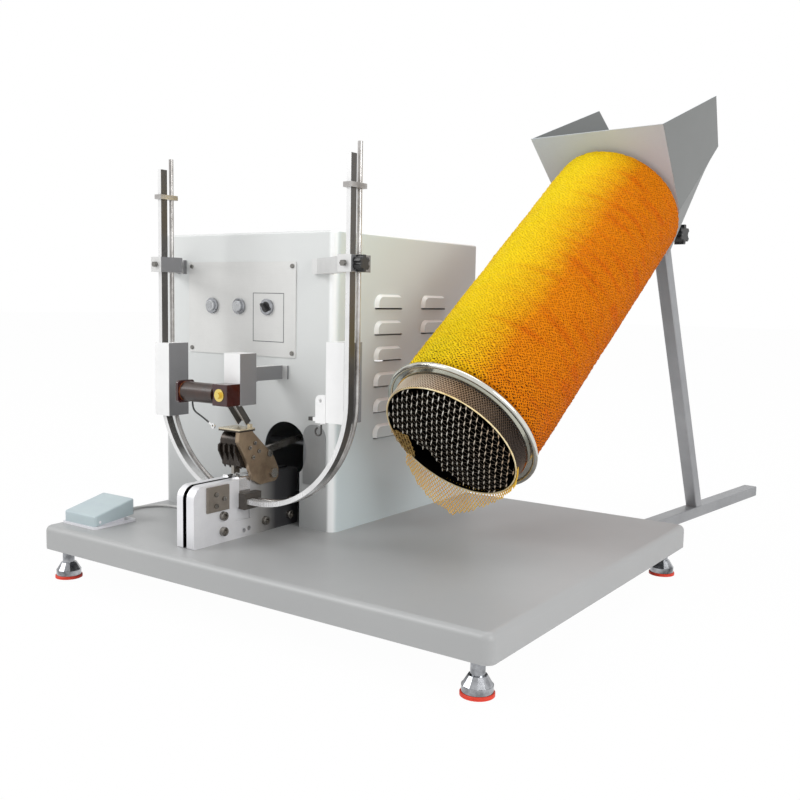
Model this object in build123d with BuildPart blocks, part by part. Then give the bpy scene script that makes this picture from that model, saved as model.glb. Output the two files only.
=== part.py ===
"""Mesh bag clipping machine and its slanted net tube on a floor stand.

Millimetres, +X to the right seen from the operator's side, +Y to the back, +Z up.
The origin is on the floor, under the middle of the whole object.
"""
import os
from math import asin, atan2, cos, degrees, hypot, pi, radians, sin, sqrt, tan

from build123d import *

os.makedirs("parts", exist_ok=True)

# General
running_clearance = 0.05
gap = 0.3

# Platform
platform_length = 900
platform_depth = 738
platform_skirt = 41
platform_sheet = 2.5
platform_corner = 14
platform_edge = 10
rib_pitch = 250
rib_width = 40
rib_height = 20
rib_wall = 2
foot_plate_side = 80
foot_plate_thickness = 5

# Levelling feet
foot_height = 52
foot_inset_x = 33
foot_inset_y = 28
foot_ring_d = 46
foot_ring_height = 5
foot_cup_d = 42
foot_cup_height = 14
foot_shoulder_d = 26
foot_shoulder_height = 27
foot_collar_d = 20
foot_nut_across = 19
foot_nut_height = 8
foot_stud_d = 12
foot_stud_above_plate = 12
foot_facets = 12

# Cabinet
cabinet_from_left = 7
cabinet_from_front = 272
cabinet_width = 426
cabinet_height = 520
cabinet_sheet = 1.5
cabinet_corner = 16
cabinet_top_edge = 4
cabinet_flange = 18
rear_panel_thickness = 2
vent_length = 90
vent_width = 5
vent_pitch_x = 130
vent_pitch_z = 16
vent_columns = 2
vent_rows = 6
inlet_from_left = 90
inlet_above_deck = 60
inlet_width = 28
inlet_height = 48
inlet_depth = 22
inlet_flange = 3
louvre_width = 88
louvre_height = 24
louvre_depth = 7
louvre_corner = 17
louvre_taper = 32
louvre_pitch_y = 150
louvre_pitch_z = 47
louvre_columns = 2
louvre_rows = 6
louvre_top_row = 402

# Keyhole opening in the cabinet front, and the shutter beside it
keyhole_centre_x = 324
keyhole_centre_z = 136
keyhole_radius = 50
keyhole_neck_left = 286
keyhole_neck_right = 357
shutter_width = 50
shutter_height = 106
shutter_corner = 22
shutter_from_left = 366
shutter_bottom = 80
shutter_thickness = 2

# Control plate
plate_from_left = 81
plate_bottom = 300
plate_width = 266
plate_height = 168
plate_thickness = 2
plate_corner = 3
plate_screw_inset = 8
switch_hole_d = 22
switch_bezel_d = 29
switch_bezel_height = 5
switch_cap_d = 19
switch_body_width = 30
switch_body_height = 38
switch_body_depth = 34
switch_height = 388
power_switch_x = 144
reset_switch_x = 212.5
selector_x = 281
cap_travel = 3
cap_proud = 4
cap_length = 9
selector_bar_length = 18
selector_bar_width = 6
selector_bar_height = 8
selector_angle = -45
screw_head_d = 8
screw_head_height = 2.5
screw_shank_d = 4
screw_length = 12
switch_nut = 4

# Die block
block_from_left = 291
block_from_front = 47
block_length = 250
block_height = 101
left_plate_thickness = 14
slot_width = 8
right_plate_thickness = 17
block_corner = 22
pocket_floor = 60
jaw_from_front = 149
jaw_depth = 26
jaw_top = 105
jaw_lead = 3
jaw_corner = 4
anvil_depth = 16
anvil_top = 92
anvil_groove = 3
spacer_from_front = 190
spacer_height = 92
block_screw_y = 111
block_screw_low = 19
block_screw_high = 45
block_screw_d = 9
block_screw_head_d = 15
block_screw_head_height = 7
block_bush_d = 16
block_screw_edge = 22
block_chamfer = 1
dowel_d = 8
dowel_places = ((161, 11), (173, 13))
recess_from_front = 142
recess_length = 33
recess_bottom = 30
recess_height = 23
recess_depth = 3
face_plate_from_front = 74
face_plate_length = 49
face_plate_bottom = 55
face_plate_height = 42
face_plate_thickness = 4
guide_from_front = 148
guide_length = 40
guide_bottom = 50
guide_height = 27
guide_thickness = 14

# Punch head, hung on a pin through the lug of the right plate
head_pivot_y = 222
head_pivot_z = 103
head_pin_d = 10
head_nut_radius = 9.0
lug_radius = 16
head_swing = 8
head_width = 40
head_side_gap = 0.5
side_plate_thickness = 8
head_flange_thickness = 5
head_round = 20
flange_height = 181
flange_middle = 160
flange_depth = 40
flange_tab = 6
side_plate_corner = 12
side_plate_chamfer = 0.8
side_screw_head_d = 7
fin_count = 4
fin_thickness = 3.5
rod_pin_y = 214
rod_pin_z = 138
rod_pin_d = 8
punch_thickness = 6
punch_depth = 14
punch_tip = 107
punch_root = 150

# Drive
roller_y = 372
roller_z = 160
roller_radius = 10
rod_from_left = 313
rod_height = 11
rod_thickness = 8
rod_eye_radius = 9
cam_radius = 26
cam_turn = 180
cam_steps = 6
cam_thickness = 6
cam_gap = 0.4
cam_hub_d = 30
shaft_d = 16
shaft_into_gearbox = 20
bracket_thickness = 8
bracket_left = 236
bracket_right = 340
bracket_from_front = 302
bracket_length = 165
bracket_height = 212
bracket_foot = 26
guide_bar_d = 10
guide_bar_y = 325
guide_bar_gap = 1
bush_flange = 3
bush_wall = 3
gearbox_length = 80
gearbox_side = 92
motor_d = 86
motor_length = 120
motor_fins = 16
motor_fin_depth = 8
motor_fin_width = 3
motor_fin_length = 96
supply_from_wall = 23
supply_from_rear = 66
supply_length = 170
supply_depth = 110
supply_height = 62
supply_corner = 3

# Clip rails
rail_left_x = 134
rail_right_x = 552
rail_radius = 187
rail_centre_z = 250
rail_width = 8
rail_depth = 14
rail_from_front = 153
rail_top = 623
rod_rail_d = 8
rod_rail_from_front = 180
rod_rail_top = 643
tie_height = 8
tie_z = 572
tie_margin = 4
clamp_z = 446
clamp_height = 26
clamp_margin = 9
bracket_pad_width = 42
bracket_pad_thickness = 8
left_pad_x = 30
right_pad_x = 388
arm_width = 15
clamp_knob_d = 26
clamp_knob_width = 14
clamp_knob_stud_d = 6
clamp_screw_d = 10
clamp_screw_head = 6

# Cover boxes, centre chute and solenoid
cover_wall = 1.5
cover_width = 37
cover_depth = 46
left_cover_x = 124
left_cover_y = 148
left_cover_bottom = 193
left_cover_height = 129
right_cover_x = 505
right_cover_y = 160
right_cover_bottom = 211
right_cover_height = 127
centre_cover_x = 292
centre_cover_y = 151
centre_cover_bottom = 224
centre_cover_height = 87
centre_cover_width = 38
centre_cover_depth = 40
chute_width = 22
chute_depth = 12
chute_wall = 2
chute_lean = 38
chute_length = 44
chute_top_y = 155.5
chute_top_z = 226
centre_arm_z = 262
centre_arm_height = 24
centre_arm_width = 20
cover_web = 4
strip_thickness = 1.5
chute_foot = 8
coil_d = 34
coil_length = 76
coil_lead_from_block = 60.8
coil_flange_d = 38
coil_flange_thickness = 5
coil_axis_z = 243
coil_block_length = 34
coil_block_depth = 31
coil_block_height = 36
coil_core_d = 10
terminal_washer_d = 21
terminal_head_d = 12
sensor_width = 20
sensor_height = 45
sensor_bottom = 209
sensor_corner = 9
sensor_hole_d = 6
sensor_tab = 14
sensor_thickness = 6
hook_wire_d = 3
hook_radius = 6
hook_length = 14
hook_turn = 250

# Foot switch
pedal_from_left = 10
pedal_from_front = 32
pedal_width = 91
pedal_depth = 92
pedal_base_thickness = 4
pedal_front_height = 22
pedal_rear_height = 42
pedal_wall = 2.5
pedal_inset = 3
pedal_pin_y = 14
pedal_pin_z = 11
pedal_pin_d = 5
pedal_lift = 9
pedal_spring_d = 14
pedal_spring_wire = 2
pedal_spring_turns = 4
pedal_spring_y = 58
pedal_guard = 18
pedal_gland_x = 36
pedal_gland_gap = 1
pedal_gland_wall = 2

# Leads
pedal_lead_d = 5
coil_lead_d = 3
terminal_ring_d = 9
terminal_thickness = 2
gland_d = 14
gland_length = 12
gland_from_left = 150
gland_above_deck = 14

# Stand: pivot of the tube, post and T foot
pivot_from_left = 731.3
pivot_from_front = 997.4
pivot_above_deck = 551.2
stand_turn = 6.7
tube_rise = 39.2
post_lean = 21.2
post_side = 28
post_wall = 2
post_above_pivot = 22
bar_width = 34
bar_height = 25
bar_rear_reach = 346
bar_front_reach = 800
cross_length = 330
pivot_bolt_d = 12
knob_d = 41
knob_thickness = 22
knob_lobes = 6
knob_lobe_d = 13
knob_washer = 14

# Net tube, ring, sleeve and hopper, placed along the tube from the ring
pivot_up_tube = 748
pivot_drop = 155
tube_d = 238
tube_wall = 1.5
tube_below_ring = 31
thin_net = 3.5
ring_height = 16
ring_outer_d = 277.6
ring_bead_d = 9
ring_sheet = 1.5
sleeve_start = 18
sleeve_end = 619
sleeve_thickness = 12
sleeve_round = 10
hopper_start = 632
hopper_length = 243
hopper_sheet = 1.5
hopper_front_top_half = 139.7
hopper_front_top = 163
hopper_front_waist_half = 124
hopper_front_waist = -20
hopper_front_floor_half = 74
hopper_front_floor = -123
hopper_rear_top_half = 130
hopper_rear_top = 81
hopper_rear_waist_half = 109
hopper_rear_waist = -30
hopper_rear_floor_half = 95
hopper_rear_floor = -40
ear_thickness = 6
ear_radius = 17
ear_root_length = 90
tail_thickness = 5
tail_above_deck = 35
tail_left = 124
tail_left_drop = 87
tail_right = 74
tail_right_drop = 58
tail_bend = 99
tail_bend_drop = 35

# The frame worked out from the sizes above
turn = radians(stand_turn)
rise = radians(tube_rise)
lean = radians(post_lean)
run_direction = Vector(sin(turn), cos(turn), 0)
side_direction = Vector(cos(turn), -sin(turn), 0)
up_direction = Vector(0, 0, 1)

deck = foot_height + platform_skirt
pivot_height = deck + pivot_above_deck
post_run = (pivot_height - bar_height) * tan(lean)
bar_rear_end = pivot_from_front + (post_run + bar_rear_reach) * cos(turn)
overall_depth = bar_rear_end + bar_width / 2 * sin(turn)
left = -platform_length / 2
front = -overall_depth / 2
platform_middle = front + platform_depth / 2

cabinet_depth = platform_depth - cabinet_from_front - rear_panel_thickness
cabinet_right = cabinet_from_left + cabinet_width
slot_left = block_from_left + left_plate_thickness
slot_right = slot_left + slot_width
slot_middle = slot_left + slot_width / 2
block_right = slot_right + right_plate_thickness
head_left = slot_middle - head_width / 2
side_plate_left = block_right + head_side_gap
side_plate_right = side_plate_left + side_plate_thickness
rail_bottom_z = rail_centre_z - rail_radius
cam_centre_y = roller_y + roller_radius + cam_radius + cam_gap
switch_places = (power_switch_x, reset_switch_x, selector_x)
foot_places = {
    "front_left": (left + foot_inset_x, front + foot_inset_y),
    "front_right": (-left - foot_inset_x, front + foot_inset_y),
    "rear_left": (left + foot_inset_x, front + platform_depth - foot_inset_y),
    "rear_right": (-left - foot_inset_x, front + platform_depth - foot_inset_y),
}

pivot = Vector(left + pivot_from_left, front + pivot_from_front, pivot_height)
tube_direction = run_direction * cos(rise) + up_direction * sin(rise)
tube_up = up_direction * cos(rise) - run_direction * sin(rise)
ring_centre = pivot - tube_direction * pivot_up_tube + tube_up * pivot_drop
tube_plane = Plane(origin=ring_centre, x_dir=-side_direction, z_dir=tube_direction)


def front_plane(from_front):
    """Upright plane across the machine; it extrudes towards the operator."""
    return Plane.XZ.offset(-(front + from_front))


def side_plane(from_left):
    """Upright plane along the machine; it extrudes to the right."""
    return Plane.YZ.offset(left + from_left)


def level_plane(above_deck):
    """Level plane above the platform's top; it extrudes upwards."""
    return Plane.XY.offset(deck + above_deck)


def across(from_left, above_deck):
    """Point of a front_plane sketch."""
    return (left + from_left, deck + above_deck)


def along(from_front, above_deck):
    """Point of a side_plane sketch."""
    return (front + from_front, deck + above_deck)


def plan(from_left, from_front):
    """Point of a level_plane sketch."""
    return (left + from_left, front + from_front)


def lead_route(points, diameter):
    """Tube's centre line through hand-set points, with an arc at each inner point."""
    corners = [Vector(*point) for point in points]
    radii = []
    for before, here, after in zip(corners, corners[1:], corners[2:]):
        first = here - before
        second = after - here
        half_turn = radians(first.get_angle(second)) / 2
        radii.append(0.45 * min(first.length, second.length) / tan(half_turn))
    print("lead", diameter, "mm, arc radii", [round(radius, 1) for radius in radii])
    return corners, radii


# Platform: folded sheet tray, open below
with BuildPart() as platform:
    with BuildSketch(Plane.XY.offset(foot_height)):
        with Locations((0, platform_middle)):
            RectangleRounded(platform_length, platform_depth, platform_corner)
    extrude(amount=platform_skirt)
    fillet(platform.edges().group_by(Axis.Z)[-1], platform_edge)
    offset(amount=-platform_sheet, openings=platform.faces().sort_by(Axis.Z)[0])
platform.part.label = "platform"
export_step(platform.part, "parts/platform.step")

# Ribs and foot plates welded under the platform
rib_length = platform_depth - 2 * platform_edge
rib_top = deck - platform_sheet
with BuildPart() as platform_frame:
    with BuildSketch(Plane.XZ.offset(-front - platform_edge)):
        with Locations((0, rib_top - rib_height / 2)):
            with GridLocations(rib_pitch, 1, 3, 1):
                Rectangle(rib_width, rib_height)
                Rectangle(rib_width - 2 * rib_wall, rib_height - 2 * rib_wall, mode=Mode.SUBTRACT)
    extrude(amount=-rib_length)
    with BuildSketch(Plane.XY.offset(foot_height)):
        with Locations((0, platform_middle)):
            with GridLocations(platform_length - 2 * platform_sheet - foot_plate_side,
                               platform_depth - 2 * platform_sheet - foot_plate_side, 2, 2):
                RectangleRounded(foot_plate_side, foot_plate_side, platform_corner)
        with Locations(*foot_places.values()):
            Circle(foot_stud_d / 2 + running_clearance, mode=Mode.SUBTRACT)
    extrude(amount=foot_plate_thickness)
platform_frame.part.label = "platform_frame"
export_step(platform_frame.part, "parts/platform_frame.step")


# Levelling feet: faceted cup, nut and stud turn together on the ring
foot_cup_start = foot_ring_height + gap
foot_nut_start = foot_height - foot_nut_height - gap
foot_stud_top = foot_height + foot_plate_thickness + foot_stud_above_plate
for place, (foot_x, foot_y) in foot_places.items():
    with BuildPart() as foot_cup:
        with BuildSketch(Plane.XY.offset(foot_cup_start)):
            with Locations((foot_x, foot_y)):
                Circle(foot_cup_d / 2)
        extrude(amount=foot_cup_height - foot_cup_start)
        with BuildSketch(Plane.XY.offset(foot_cup_height)):
            with Locations((foot_x, foot_y)):
                RegularPolygon(foot_cup_d / 2, foot_facets)
        with BuildSketch(Plane.XY.offset(foot_shoulder_height)):
            with Locations((foot_x, foot_y)):
                RegularPolygon(foot_shoulder_d / 2, foot_facets)
        loft()
        with BuildSketch(Plane.XY.offset(foot_shoulder_height)):
            with Locations((foot_x, foot_y)):
                Circle(foot_collar_d / 2)
        extrude(amount=foot_nut_start - foot_shoulder_height)
        with BuildSketch(Plane.XY.offset(foot_nut_start)):
            with Locations((foot_x, foot_y)):
                RegularPolygon(foot_nut_across / 2, 6, major_radius=False)
        extrude(amount=foot_nut_height)
        with BuildSketch(Plane.XY.offset(foot_nut_start)):
            with Locations((foot_x, foot_y)):
                Circle(foot_stud_d / 2)
        extrude(amount=foot_stud_top - foot_nut_start)
    foot_cup.part.label = "foot_" + place
    export_step(foot_cup.part, "parts/foot_" + place + ".step")

with BuildPart() as foot_rings:
    with BuildSketch(Plane.XY):
        with Locations(*foot_places.values()):
            Circle(foot_ring_d / 2)
    extrude(amount=foot_ring_height)
    chamfer(foot_rings.edges().group_by(Axis.Z)[-1], 1)
foot_rings.part.label = "foot_rings"
export_step(foot_rings.part, "parts/foot_rings.step")

# One louvre hood, pressed out of the sheet and open along its lower edge
louvre_run = louvre_depth * tan(radians(louvre_taper))
with BuildPart() as louvre_hood:
    with BuildSketch() as louvre_outline:
        with Locations((0, -louvre_run / 2)):
            Rectangle(louvre_width, louvre_height + louvre_run)
        fillet(louvre_outline.vertices().group_by(Axis.Y)[-1], louvre_corner)
    extrude(amount=louvre_depth, taper=louvre_taper)
    with BuildSketch() as louvre_inside:
        with Locations((0, -louvre_run / 2)):
            Rectangle(louvre_width - 2 * cabinet_sheet, louvre_height + louvre_run - 2 * cabinet_sheet)
        fillet(louvre_inside.vertices().group_by(Axis.Y)[-1], louvre_corner - cabinet_sheet)
    extrude(amount=louvre_depth - cabinet_sheet, taper=louvre_taper, mode=Mode.SUBTRACT)
    split(bisect_by=Plane.XZ.offset(louvre_height / 2), keep=Keep.BOTTOM)

# Cabinet: bent shell, open below and behind, with an inward flange at both openings
cabinet_mid_from_front = cabinet_from_front + cabinet_depth / 2
louvre_mid_height = louvre_top_row - louvre_pitch_z * (louvre_rows - 1) / 2
right_louvres = Plane(
    origin=(left + cabinet_right, front + cabinet_mid_from_front, deck + louvre_mid_height),
    x_dir=(0, 1, 0), z_dir=(1, 0, 0))
left_louvres = Plane(
    origin=(left + cabinet_from_left, front + cabinet_mid_from_front, deck + louvre_mid_height),
    x_dir=(0, -1, 0), z_dir=(-1, 0, 0))
plate_middle = across(plate_from_left + plate_width / 2, plate_bottom + plate_height / 2)
with BuildPart() as cabinet:
    with BuildSketch(level_plane(0)) as cabinet_plan:
        with Locations(plan(cabinet_from_left + cabinet_width / 2, cabinet_mid_from_front)):
            Rectangle(cabinet_width, cabinet_depth)
        fillet(cabinet_plan.vertices().group_by(Axis.Y)[0], cabinet_corner)
    extrude(amount=cabinet_height)
    fillet(cabinet.edges().group_by(Axis.Z)[-1].sort_by(Axis.Y)[:-1], cabinet_top_edge)
    open_faces = [cabinet.faces().sort_by(Axis.Z)[0], cabinet.faces().sort_by(Axis.Y)[-1]]
    offset(amount=-cabinet_sheet, openings=open_faces)
    with BuildSketch(level_plane(0)) as bottom_flange:
        with Locations(plan(cabinet_from_left + cabinet_width / 2, cabinet_mid_from_front)):
            Rectangle(cabinet_width, cabinet_depth)
            fillet(bottom_flange.vertices().group_by(Axis.Y)[0], cabinet_corner)
            Rectangle(cabinet_width - 2 * cabinet_flange, cabinet_depth - 2 * cabinet_flange,
                      mode=Mode.SUBTRACT)
    extrude(amount=cabinet_sheet)
    with BuildSketch(front_plane(cabinet_from_front + cabinet_depth)):
        with Locations(across(cabinet_from_left + cabinet_width / 2, cabinet_height / 2)):
            Rectangle(cabinet_width - 2 * cabinet_sheet, cabinet_height - 2 * cabinet_sheet)
            Rectangle(cabinet_width - 2 * cabinet_flange, cabinet_height - 2 * cabinet_flange,
                      mode=Mode.SUBTRACT)
    extrude(amount=cabinet_sheet)
    with BuildSketch(front_plane(cabinet_from_front)):
        with Locations(across(keyhole_centre_x, keyhole_centre_z)):
            Circle(keyhole_radius)
        with Locations(across((keyhole_neck_left + keyhole_neck_right) / 2, keyhole_centre_z / 2)):
            Rectangle(keyhole_neck_right - keyhole_neck_left, keyhole_centre_z)
    extrude(amount=-cabinet_flange - cabinet_sheet, mode=Mode.SUBTRACT)
    with BuildSketch(front_plane(cabinet_from_front)):
        with Locations(*[across(x, switch_height) for x in switch_places]):
            Circle(switch_hole_d / 2)
        with Locations(plate_middle):
            with GridLocations(plate_width - 2 * plate_screw_inset,
                               plate_height - 2 * plate_screw_inset, 2, 2):
                Circle(screw_shank_d / 2 + running_clearance)
        with Locations(across(gland_from_left, gland_above_deck)):
            Circle(gland_d / 2 + running_clearance)
    extrude(amount=-cabinet_sheet, mode=Mode.SUBTRACT)
    for wall in (right_louvres, left_louvres):
        with BuildSketch(wall):
            with GridLocations(louvre_pitch_y, louvre_pitch_z, louvre_columns, louvre_rows):
                add(louvre_inside.sketch)
        extrude(amount=-cabinet_sheet, mode=Mode.SUBTRACT)
    for wall in (right_louvres, left_louvres):
        with Locations(wall):
            with GridLocations(louvre_pitch_y, louvre_pitch_z, louvre_columns, louvre_rows):
                add(louvre_hood.part)
cabinet.part.label = "cabinet"
export_step(cabinet.part, "parts/cabinet.step")

# Rear service panel with vent slots, screwed on the rear flange
panel_middle = across(cabinet_from_left + cabinet_width / 2, cabinet_height / 2)
rear_screw_x = cabinet_width - cabinet_flange
rear_screw_z = cabinet_height - cabinet_flange
inlet_place = across(inlet_from_left, inlet_above_deck)
with BuildPart() as rear_panel:
    with BuildSketch(front_plane(platform_depth)):
        with Locations(panel_middle):
            RectangleRounded(cabinet_width, cabinet_height, cabinet_top_edge)
            with GridLocations(rear_screw_x, rear_screw_z, 2, 2):
                Circle(screw_shank_d / 2 + running_clearance, mode=Mode.SUBTRACT)
            with GridLocations(vent_pitch_x, vent_pitch_z, vent_columns, vent_rows):
                SlotOverall(vent_length, vent_width, mode=Mode.SUBTRACT)
        with Locations(inlet_place):
            Rectangle(inlet_width, inlet_height, mode=Mode.SUBTRACT)
    extrude(amount=rear_panel_thickness)
rear_panel.part.label = "rear_panel"
export_step(rear_panel.part, "parts/rear_panel.step")

with BuildPart() as mains_inlet:
    with BuildSketch(front_plane(platform_depth)):
        with Locations(inlet_place):
            RectangleRounded(inlet_width - 2 * running_clearance, inlet_height - 2 * running_clearance, 2)
    extrude(amount=inlet_depth)
    with BuildSketch(front_plane(platform_depth)):
        with Locations(inlet_place):
            RectangleRounded(inlet_width + 2 * inlet_flange, inlet_height + 2 * inlet_flange, 3)
    extrude(amount=-inlet_flange)
    with BuildSketch(front_plane(platform_depth + inlet_flange)):
        with Locations(inlet_place):
            Rectangle(inlet_width - 2 * inlet_flange, inlet_height - 2 * inlet_flange)
    extrude(amount=inlet_depth - inlet_flange, mode=Mode.SUBTRACT)
mains_inlet.part.label = "mains_inlet"
export_step(mains_inlet.part, "parts/mains_inlet.step")

# Control plate and its switches
plate_face = cabinet_from_front - plate_thickness
with BuildPart() as control_plate:
    with BuildSketch(front_plane(cabinet_from_front)):
        with Locations(plate_middle):
            RectangleRounded(plate_width, plate_height, plate_corner)
            with GridLocations(plate_width - 2 * plate_screw_inset,
                               plate_height - 2 * plate_screw_inset, 2, 2):
                Circle(screw_shank_d / 2 + running_clearance, mode=Mode.SUBTRACT)
        with Locations(*[across(x, switch_height) for x in switch_places]):
            Circle(switch_hole_d / 2, mode=Mode.SUBTRACT)
    extrude(amount=plate_thickness)
control_plate.part.label = "control_plate"
export_step(control_plate.part, "parts/control_plate.step")

bezel_face = plate_face - switch_bezel_height
cap_seat = cap_length - cap_proud + cap_travel + gap
with BuildPart() as panel_switches:
    with BuildSketch(front_plane(plate_face)):
        with Locations(*[across(x, switch_height) for x in switch_places]):
            Circle(switch_bezel_d / 2)
    extrude(amount=switch_bezel_height)
    chamfer(panel_switches.edges().group_by(Axis.Y)[0], 1)
    with BuildSketch(front_plane(plate_face)):
        with Locations(*[across(x, switch_height) for x in switch_places]):
            Circle(switch_hole_d / 2 - running_clearance)
    extrude(amount=-plate_thickness - cabinet_sheet - switch_nut)
    with BuildSketch(front_plane(cabinet_from_front + cabinet_sheet)):
        with Locations(*[across(x, switch_height) for x in switch_places]):
            RectangleRounded(switch_body_width, switch_body_height, 2)
    extrude(amount=-switch_body_depth)
    with BuildSketch(front_plane(bezel_face)):
        with Locations(*[across(x, switch_height) for x in switch_places]):
            Circle(switch_cap_d / 2 + running_clearance)
    extrude(amount=-cap_seat, mode=Mode.SUBTRACT)
panel_switches.part.label = "panel_switches"
export_step(panel_switches.part, "parts/panel_switches.step")

cap_face = bezel_face - cap_proud
for cap_name, cap_x in (("power_button", power_switch_x), ("reset_button", reset_switch_x)):
    with BuildPart() as button_cap:
        with BuildSketch(front_plane(cap_face)):
            with Locations(across(cap_x, switch_height)):
                Circle(switch_cap_d / 2)
        extrude(amount=-cap_length)
        fillet(button_cap.edges().group_by(Axis.Y)[0], 1)
    button_cap.part.label = cap_name
    export_step(button_cap.part, "parts/" + cap_name + ".step")

with BuildPart() as selector_knob:
    with BuildSketch(front_plane(bezel_face)):
        with Locations(across(selector_x, switch_height)):
            Circle(switch_cap_d / 2)
    extrude(amount=-cap_seat + gap)
    with BuildSketch(front_plane(bezel_face)):
        with Locations(Location((*across(selector_x, switch_height), 0), selector_angle)):
            SlotOverall(selector_bar_length, selector_bar_width)
    extrude(amount=selector_bar_height, taper=5)
selector_knob.part.label = "selector_knob"
export_step(selector_knob.part, "parts/selector_knob.step")

with BuildPart() as opening_shutter:
    with BuildSketch(front_plane(cabinet_from_front)) as shutter_outline:
        with Locations(across(shutter_from_left + shutter_width / 2, shutter_bottom + shutter_height / 2)):
            Rectangle(shutter_width, shutter_height)
        fillet(shutter_outline.vertices().group_by(Axis.Y)[-1], shutter_corner)
        with Locations(across(keyhole_centre_x, keyhole_centre_z)):
            Circle(keyhole_radius, mode=Mode.SUBTRACT)
    extrude(amount=shutter_thickness)
opening_shutter.part.label = "opening_shutter"
export_step(opening_shutter.part, "parts/opening_shutter.step")

# Die block: two thick plates with the slot for the net between them
jaw_pocket = jaw_depth + 2 * running_clearance
jaw_middle_y = jaw_from_front + jaw_depth / 2
block_screw_rear = block_from_front + block_length - block_screw_edge
rear_screws = ((block_screw_rear, block_screw_low), (block_screw_rear, block_screw_high),
               (spacer_from_front + block_screw_edge, block_screw_low))
front_screws = ((block_screw_y, block_screw_low), (block_screw_y, block_screw_high))
through_screws = [along(*place) for place in front_screws + rear_screws]


def block_plate(from_left, thickness, with_lug):
    """One plate of the die block, with the jaw pocket, the screw holes and, on the right, the lug."""
    with BuildPart() as plate:
        with BuildSketch(side_plane(from_left)) as outline:
            with Locations(along(block_from_front + block_length / 2, block_height / 2)):
                Rectangle(block_length, block_height)
            fillet(outline.vertices().group_by(Axis.Y)[-1].sort_by(Axis.X)[0], block_corner)
            if with_lug:
                with Locations(along(head_pivot_y, head_pivot_z)):
                    Circle(lug_radius)
                    Circle(head_pin_d / 2 + running_clearance, mode=Mode.SUBTRACT)
            with Locations(along(jaw_middle_y, (pocket_floor + block_height) / 2)):
                Rectangle(jaw_pocket, block_height - pocket_floor, mode=Mode.SUBTRACT)
            with Locations(*through_screws):
                Circle(block_screw_d / 2 + running_clearance, mode=Mode.SUBTRACT)
        extrude(amount=thickness)
        chamfer(plate.edges().filter_by(Axis.X).group_by(Axis.Z)[0], block_chamfer)
    return plate


block_left_plate = block_plate(block_from_left, left_plate_thickness, False)
block_left_plate.part.label = "block_left_plate"
export_step(block_left_plate.part, "parts/block_left_plate.step")

face_screws = [along(*place) for place in ((92, 84), (110, 75), (92, 65))]
face_plate_middle = along(face_plate_from_front + face_plate_length / 2,
                          face_plate_bottom + face_plate_height / 2)
guide_middle = along(guide_from_front + guide_length / 2, guide_bottom + guide_height / 2)
right_plate_body = block_plate(slot_right, right_plate_thickness, True)
with BuildPart() as block_right_plate:
    add(right_plate_body.part)
    with BuildSketch(side_plane(block_right)):
        with Locations(along(recess_from_front + recess_length / 2, recess_bottom + recess_height / 2)):
            Rectangle(recess_length, recess_height)
    extrude(amount=-recess_depth, mode=Mode.SUBTRACT)
    with BuildSketch(side_plane(block_right)):
        with Locations(*[along(*place) for place in dowel_places]):
            Circle(dowel_d / 2)
    extrude(amount=-right_plate_thickness / 2, mode=Mode.SUBTRACT)
    with BuildSketch(side_plane(block_right)):
        with Locations(*face_screws):
            Circle(screw_shank_d / 2 + running_clearance)
    extrude(amount=-screw_length, mode=Mode.SUBTRACT)
block_right_plate.part.label = "block_right_plate"
export_step(block_right_plate.part, "parts/block_right_plate.step")

# What keeps the plates apart: a bar at the back and a bush round each front screw
spacer_length = block_from_front + block_length - spacer_from_front
with BuildPart() as block_spacer:
    with BuildSketch(side_plane(slot_left)):
        with Locations(along(spacer_from_front + spacer_length / 2, spacer_height / 2)):
            Rectangle(spacer_length, spacer_height)
        with Locations(*[along(*place) for place in front_screws]):
            Circle(block_bush_d / 2)
        with Locations(*through_screws):
            Circle(block_screw_d / 2 + running_clearance, mode=Mode.SUBTRACT)
    extrude(amount=slot_width)
block_spacer.part.label = "block_spacer"
export_step(block_spacer.part, "parts/block_spacer.step")

with BuildPart() as block_screws:
    with BuildSketch(side_plane(block_from_left)):
        with Locations(*through_screws):
            Circle(block_screw_d / 2)
    extrude(amount=block_right - block_from_left)
    with BuildSketch(side_plane(block_right)):
        with Locations(*through_screws):
            Circle(block_screw_head_d / 2)
    extrude(amount=block_screw_head_height)
    chamfer(block_screws.edges().group_by(Axis.X)[-1], 1)
    with BuildSketch(side_plane(block_right + block_screw_head_height)):
        with Locations(*through_screws):
            RegularPolygon(block_screw_d / 2, 6)
    extrude(amount=-block_screw_head_height / 2, mode=Mode.SUBTRACT)
    with BuildSketch(side_plane(block_right + face_plate_thickness)):
        with Locations(*face_screws):
            Circle(screw_head_d / 2)
    extrude(amount=screw_head_height)
    with BuildSketch(side_plane(block_right + face_plate_thickness)):
        with Locations(*face_screws):
            Circle(screw_shank_d / 2)
    extrude(amount=-screw_length)
block_screws.part.label = "block_screws"
export_step(block_screws.part, "parts/block_screws.step")

with BuildPart() as face_plate:
    with BuildSketch(side_plane(block_right)):
        with Locations(face_plate_middle):
            Rectangle(face_plate_length, face_plate_height)
        with Locations(*face_screws):
            Circle(screw_shank_d / 2 + running_clearance, mode=Mode.SUBTRACT)
    extrude(amount=face_plate_thickness)
    chamfer(face_plate.edges().group_by(Axis.X)[-1], 0.6)
face_plate.part.label = "face_plate"
export_step(face_plate.part, "parts/face_plate.step")

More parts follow.
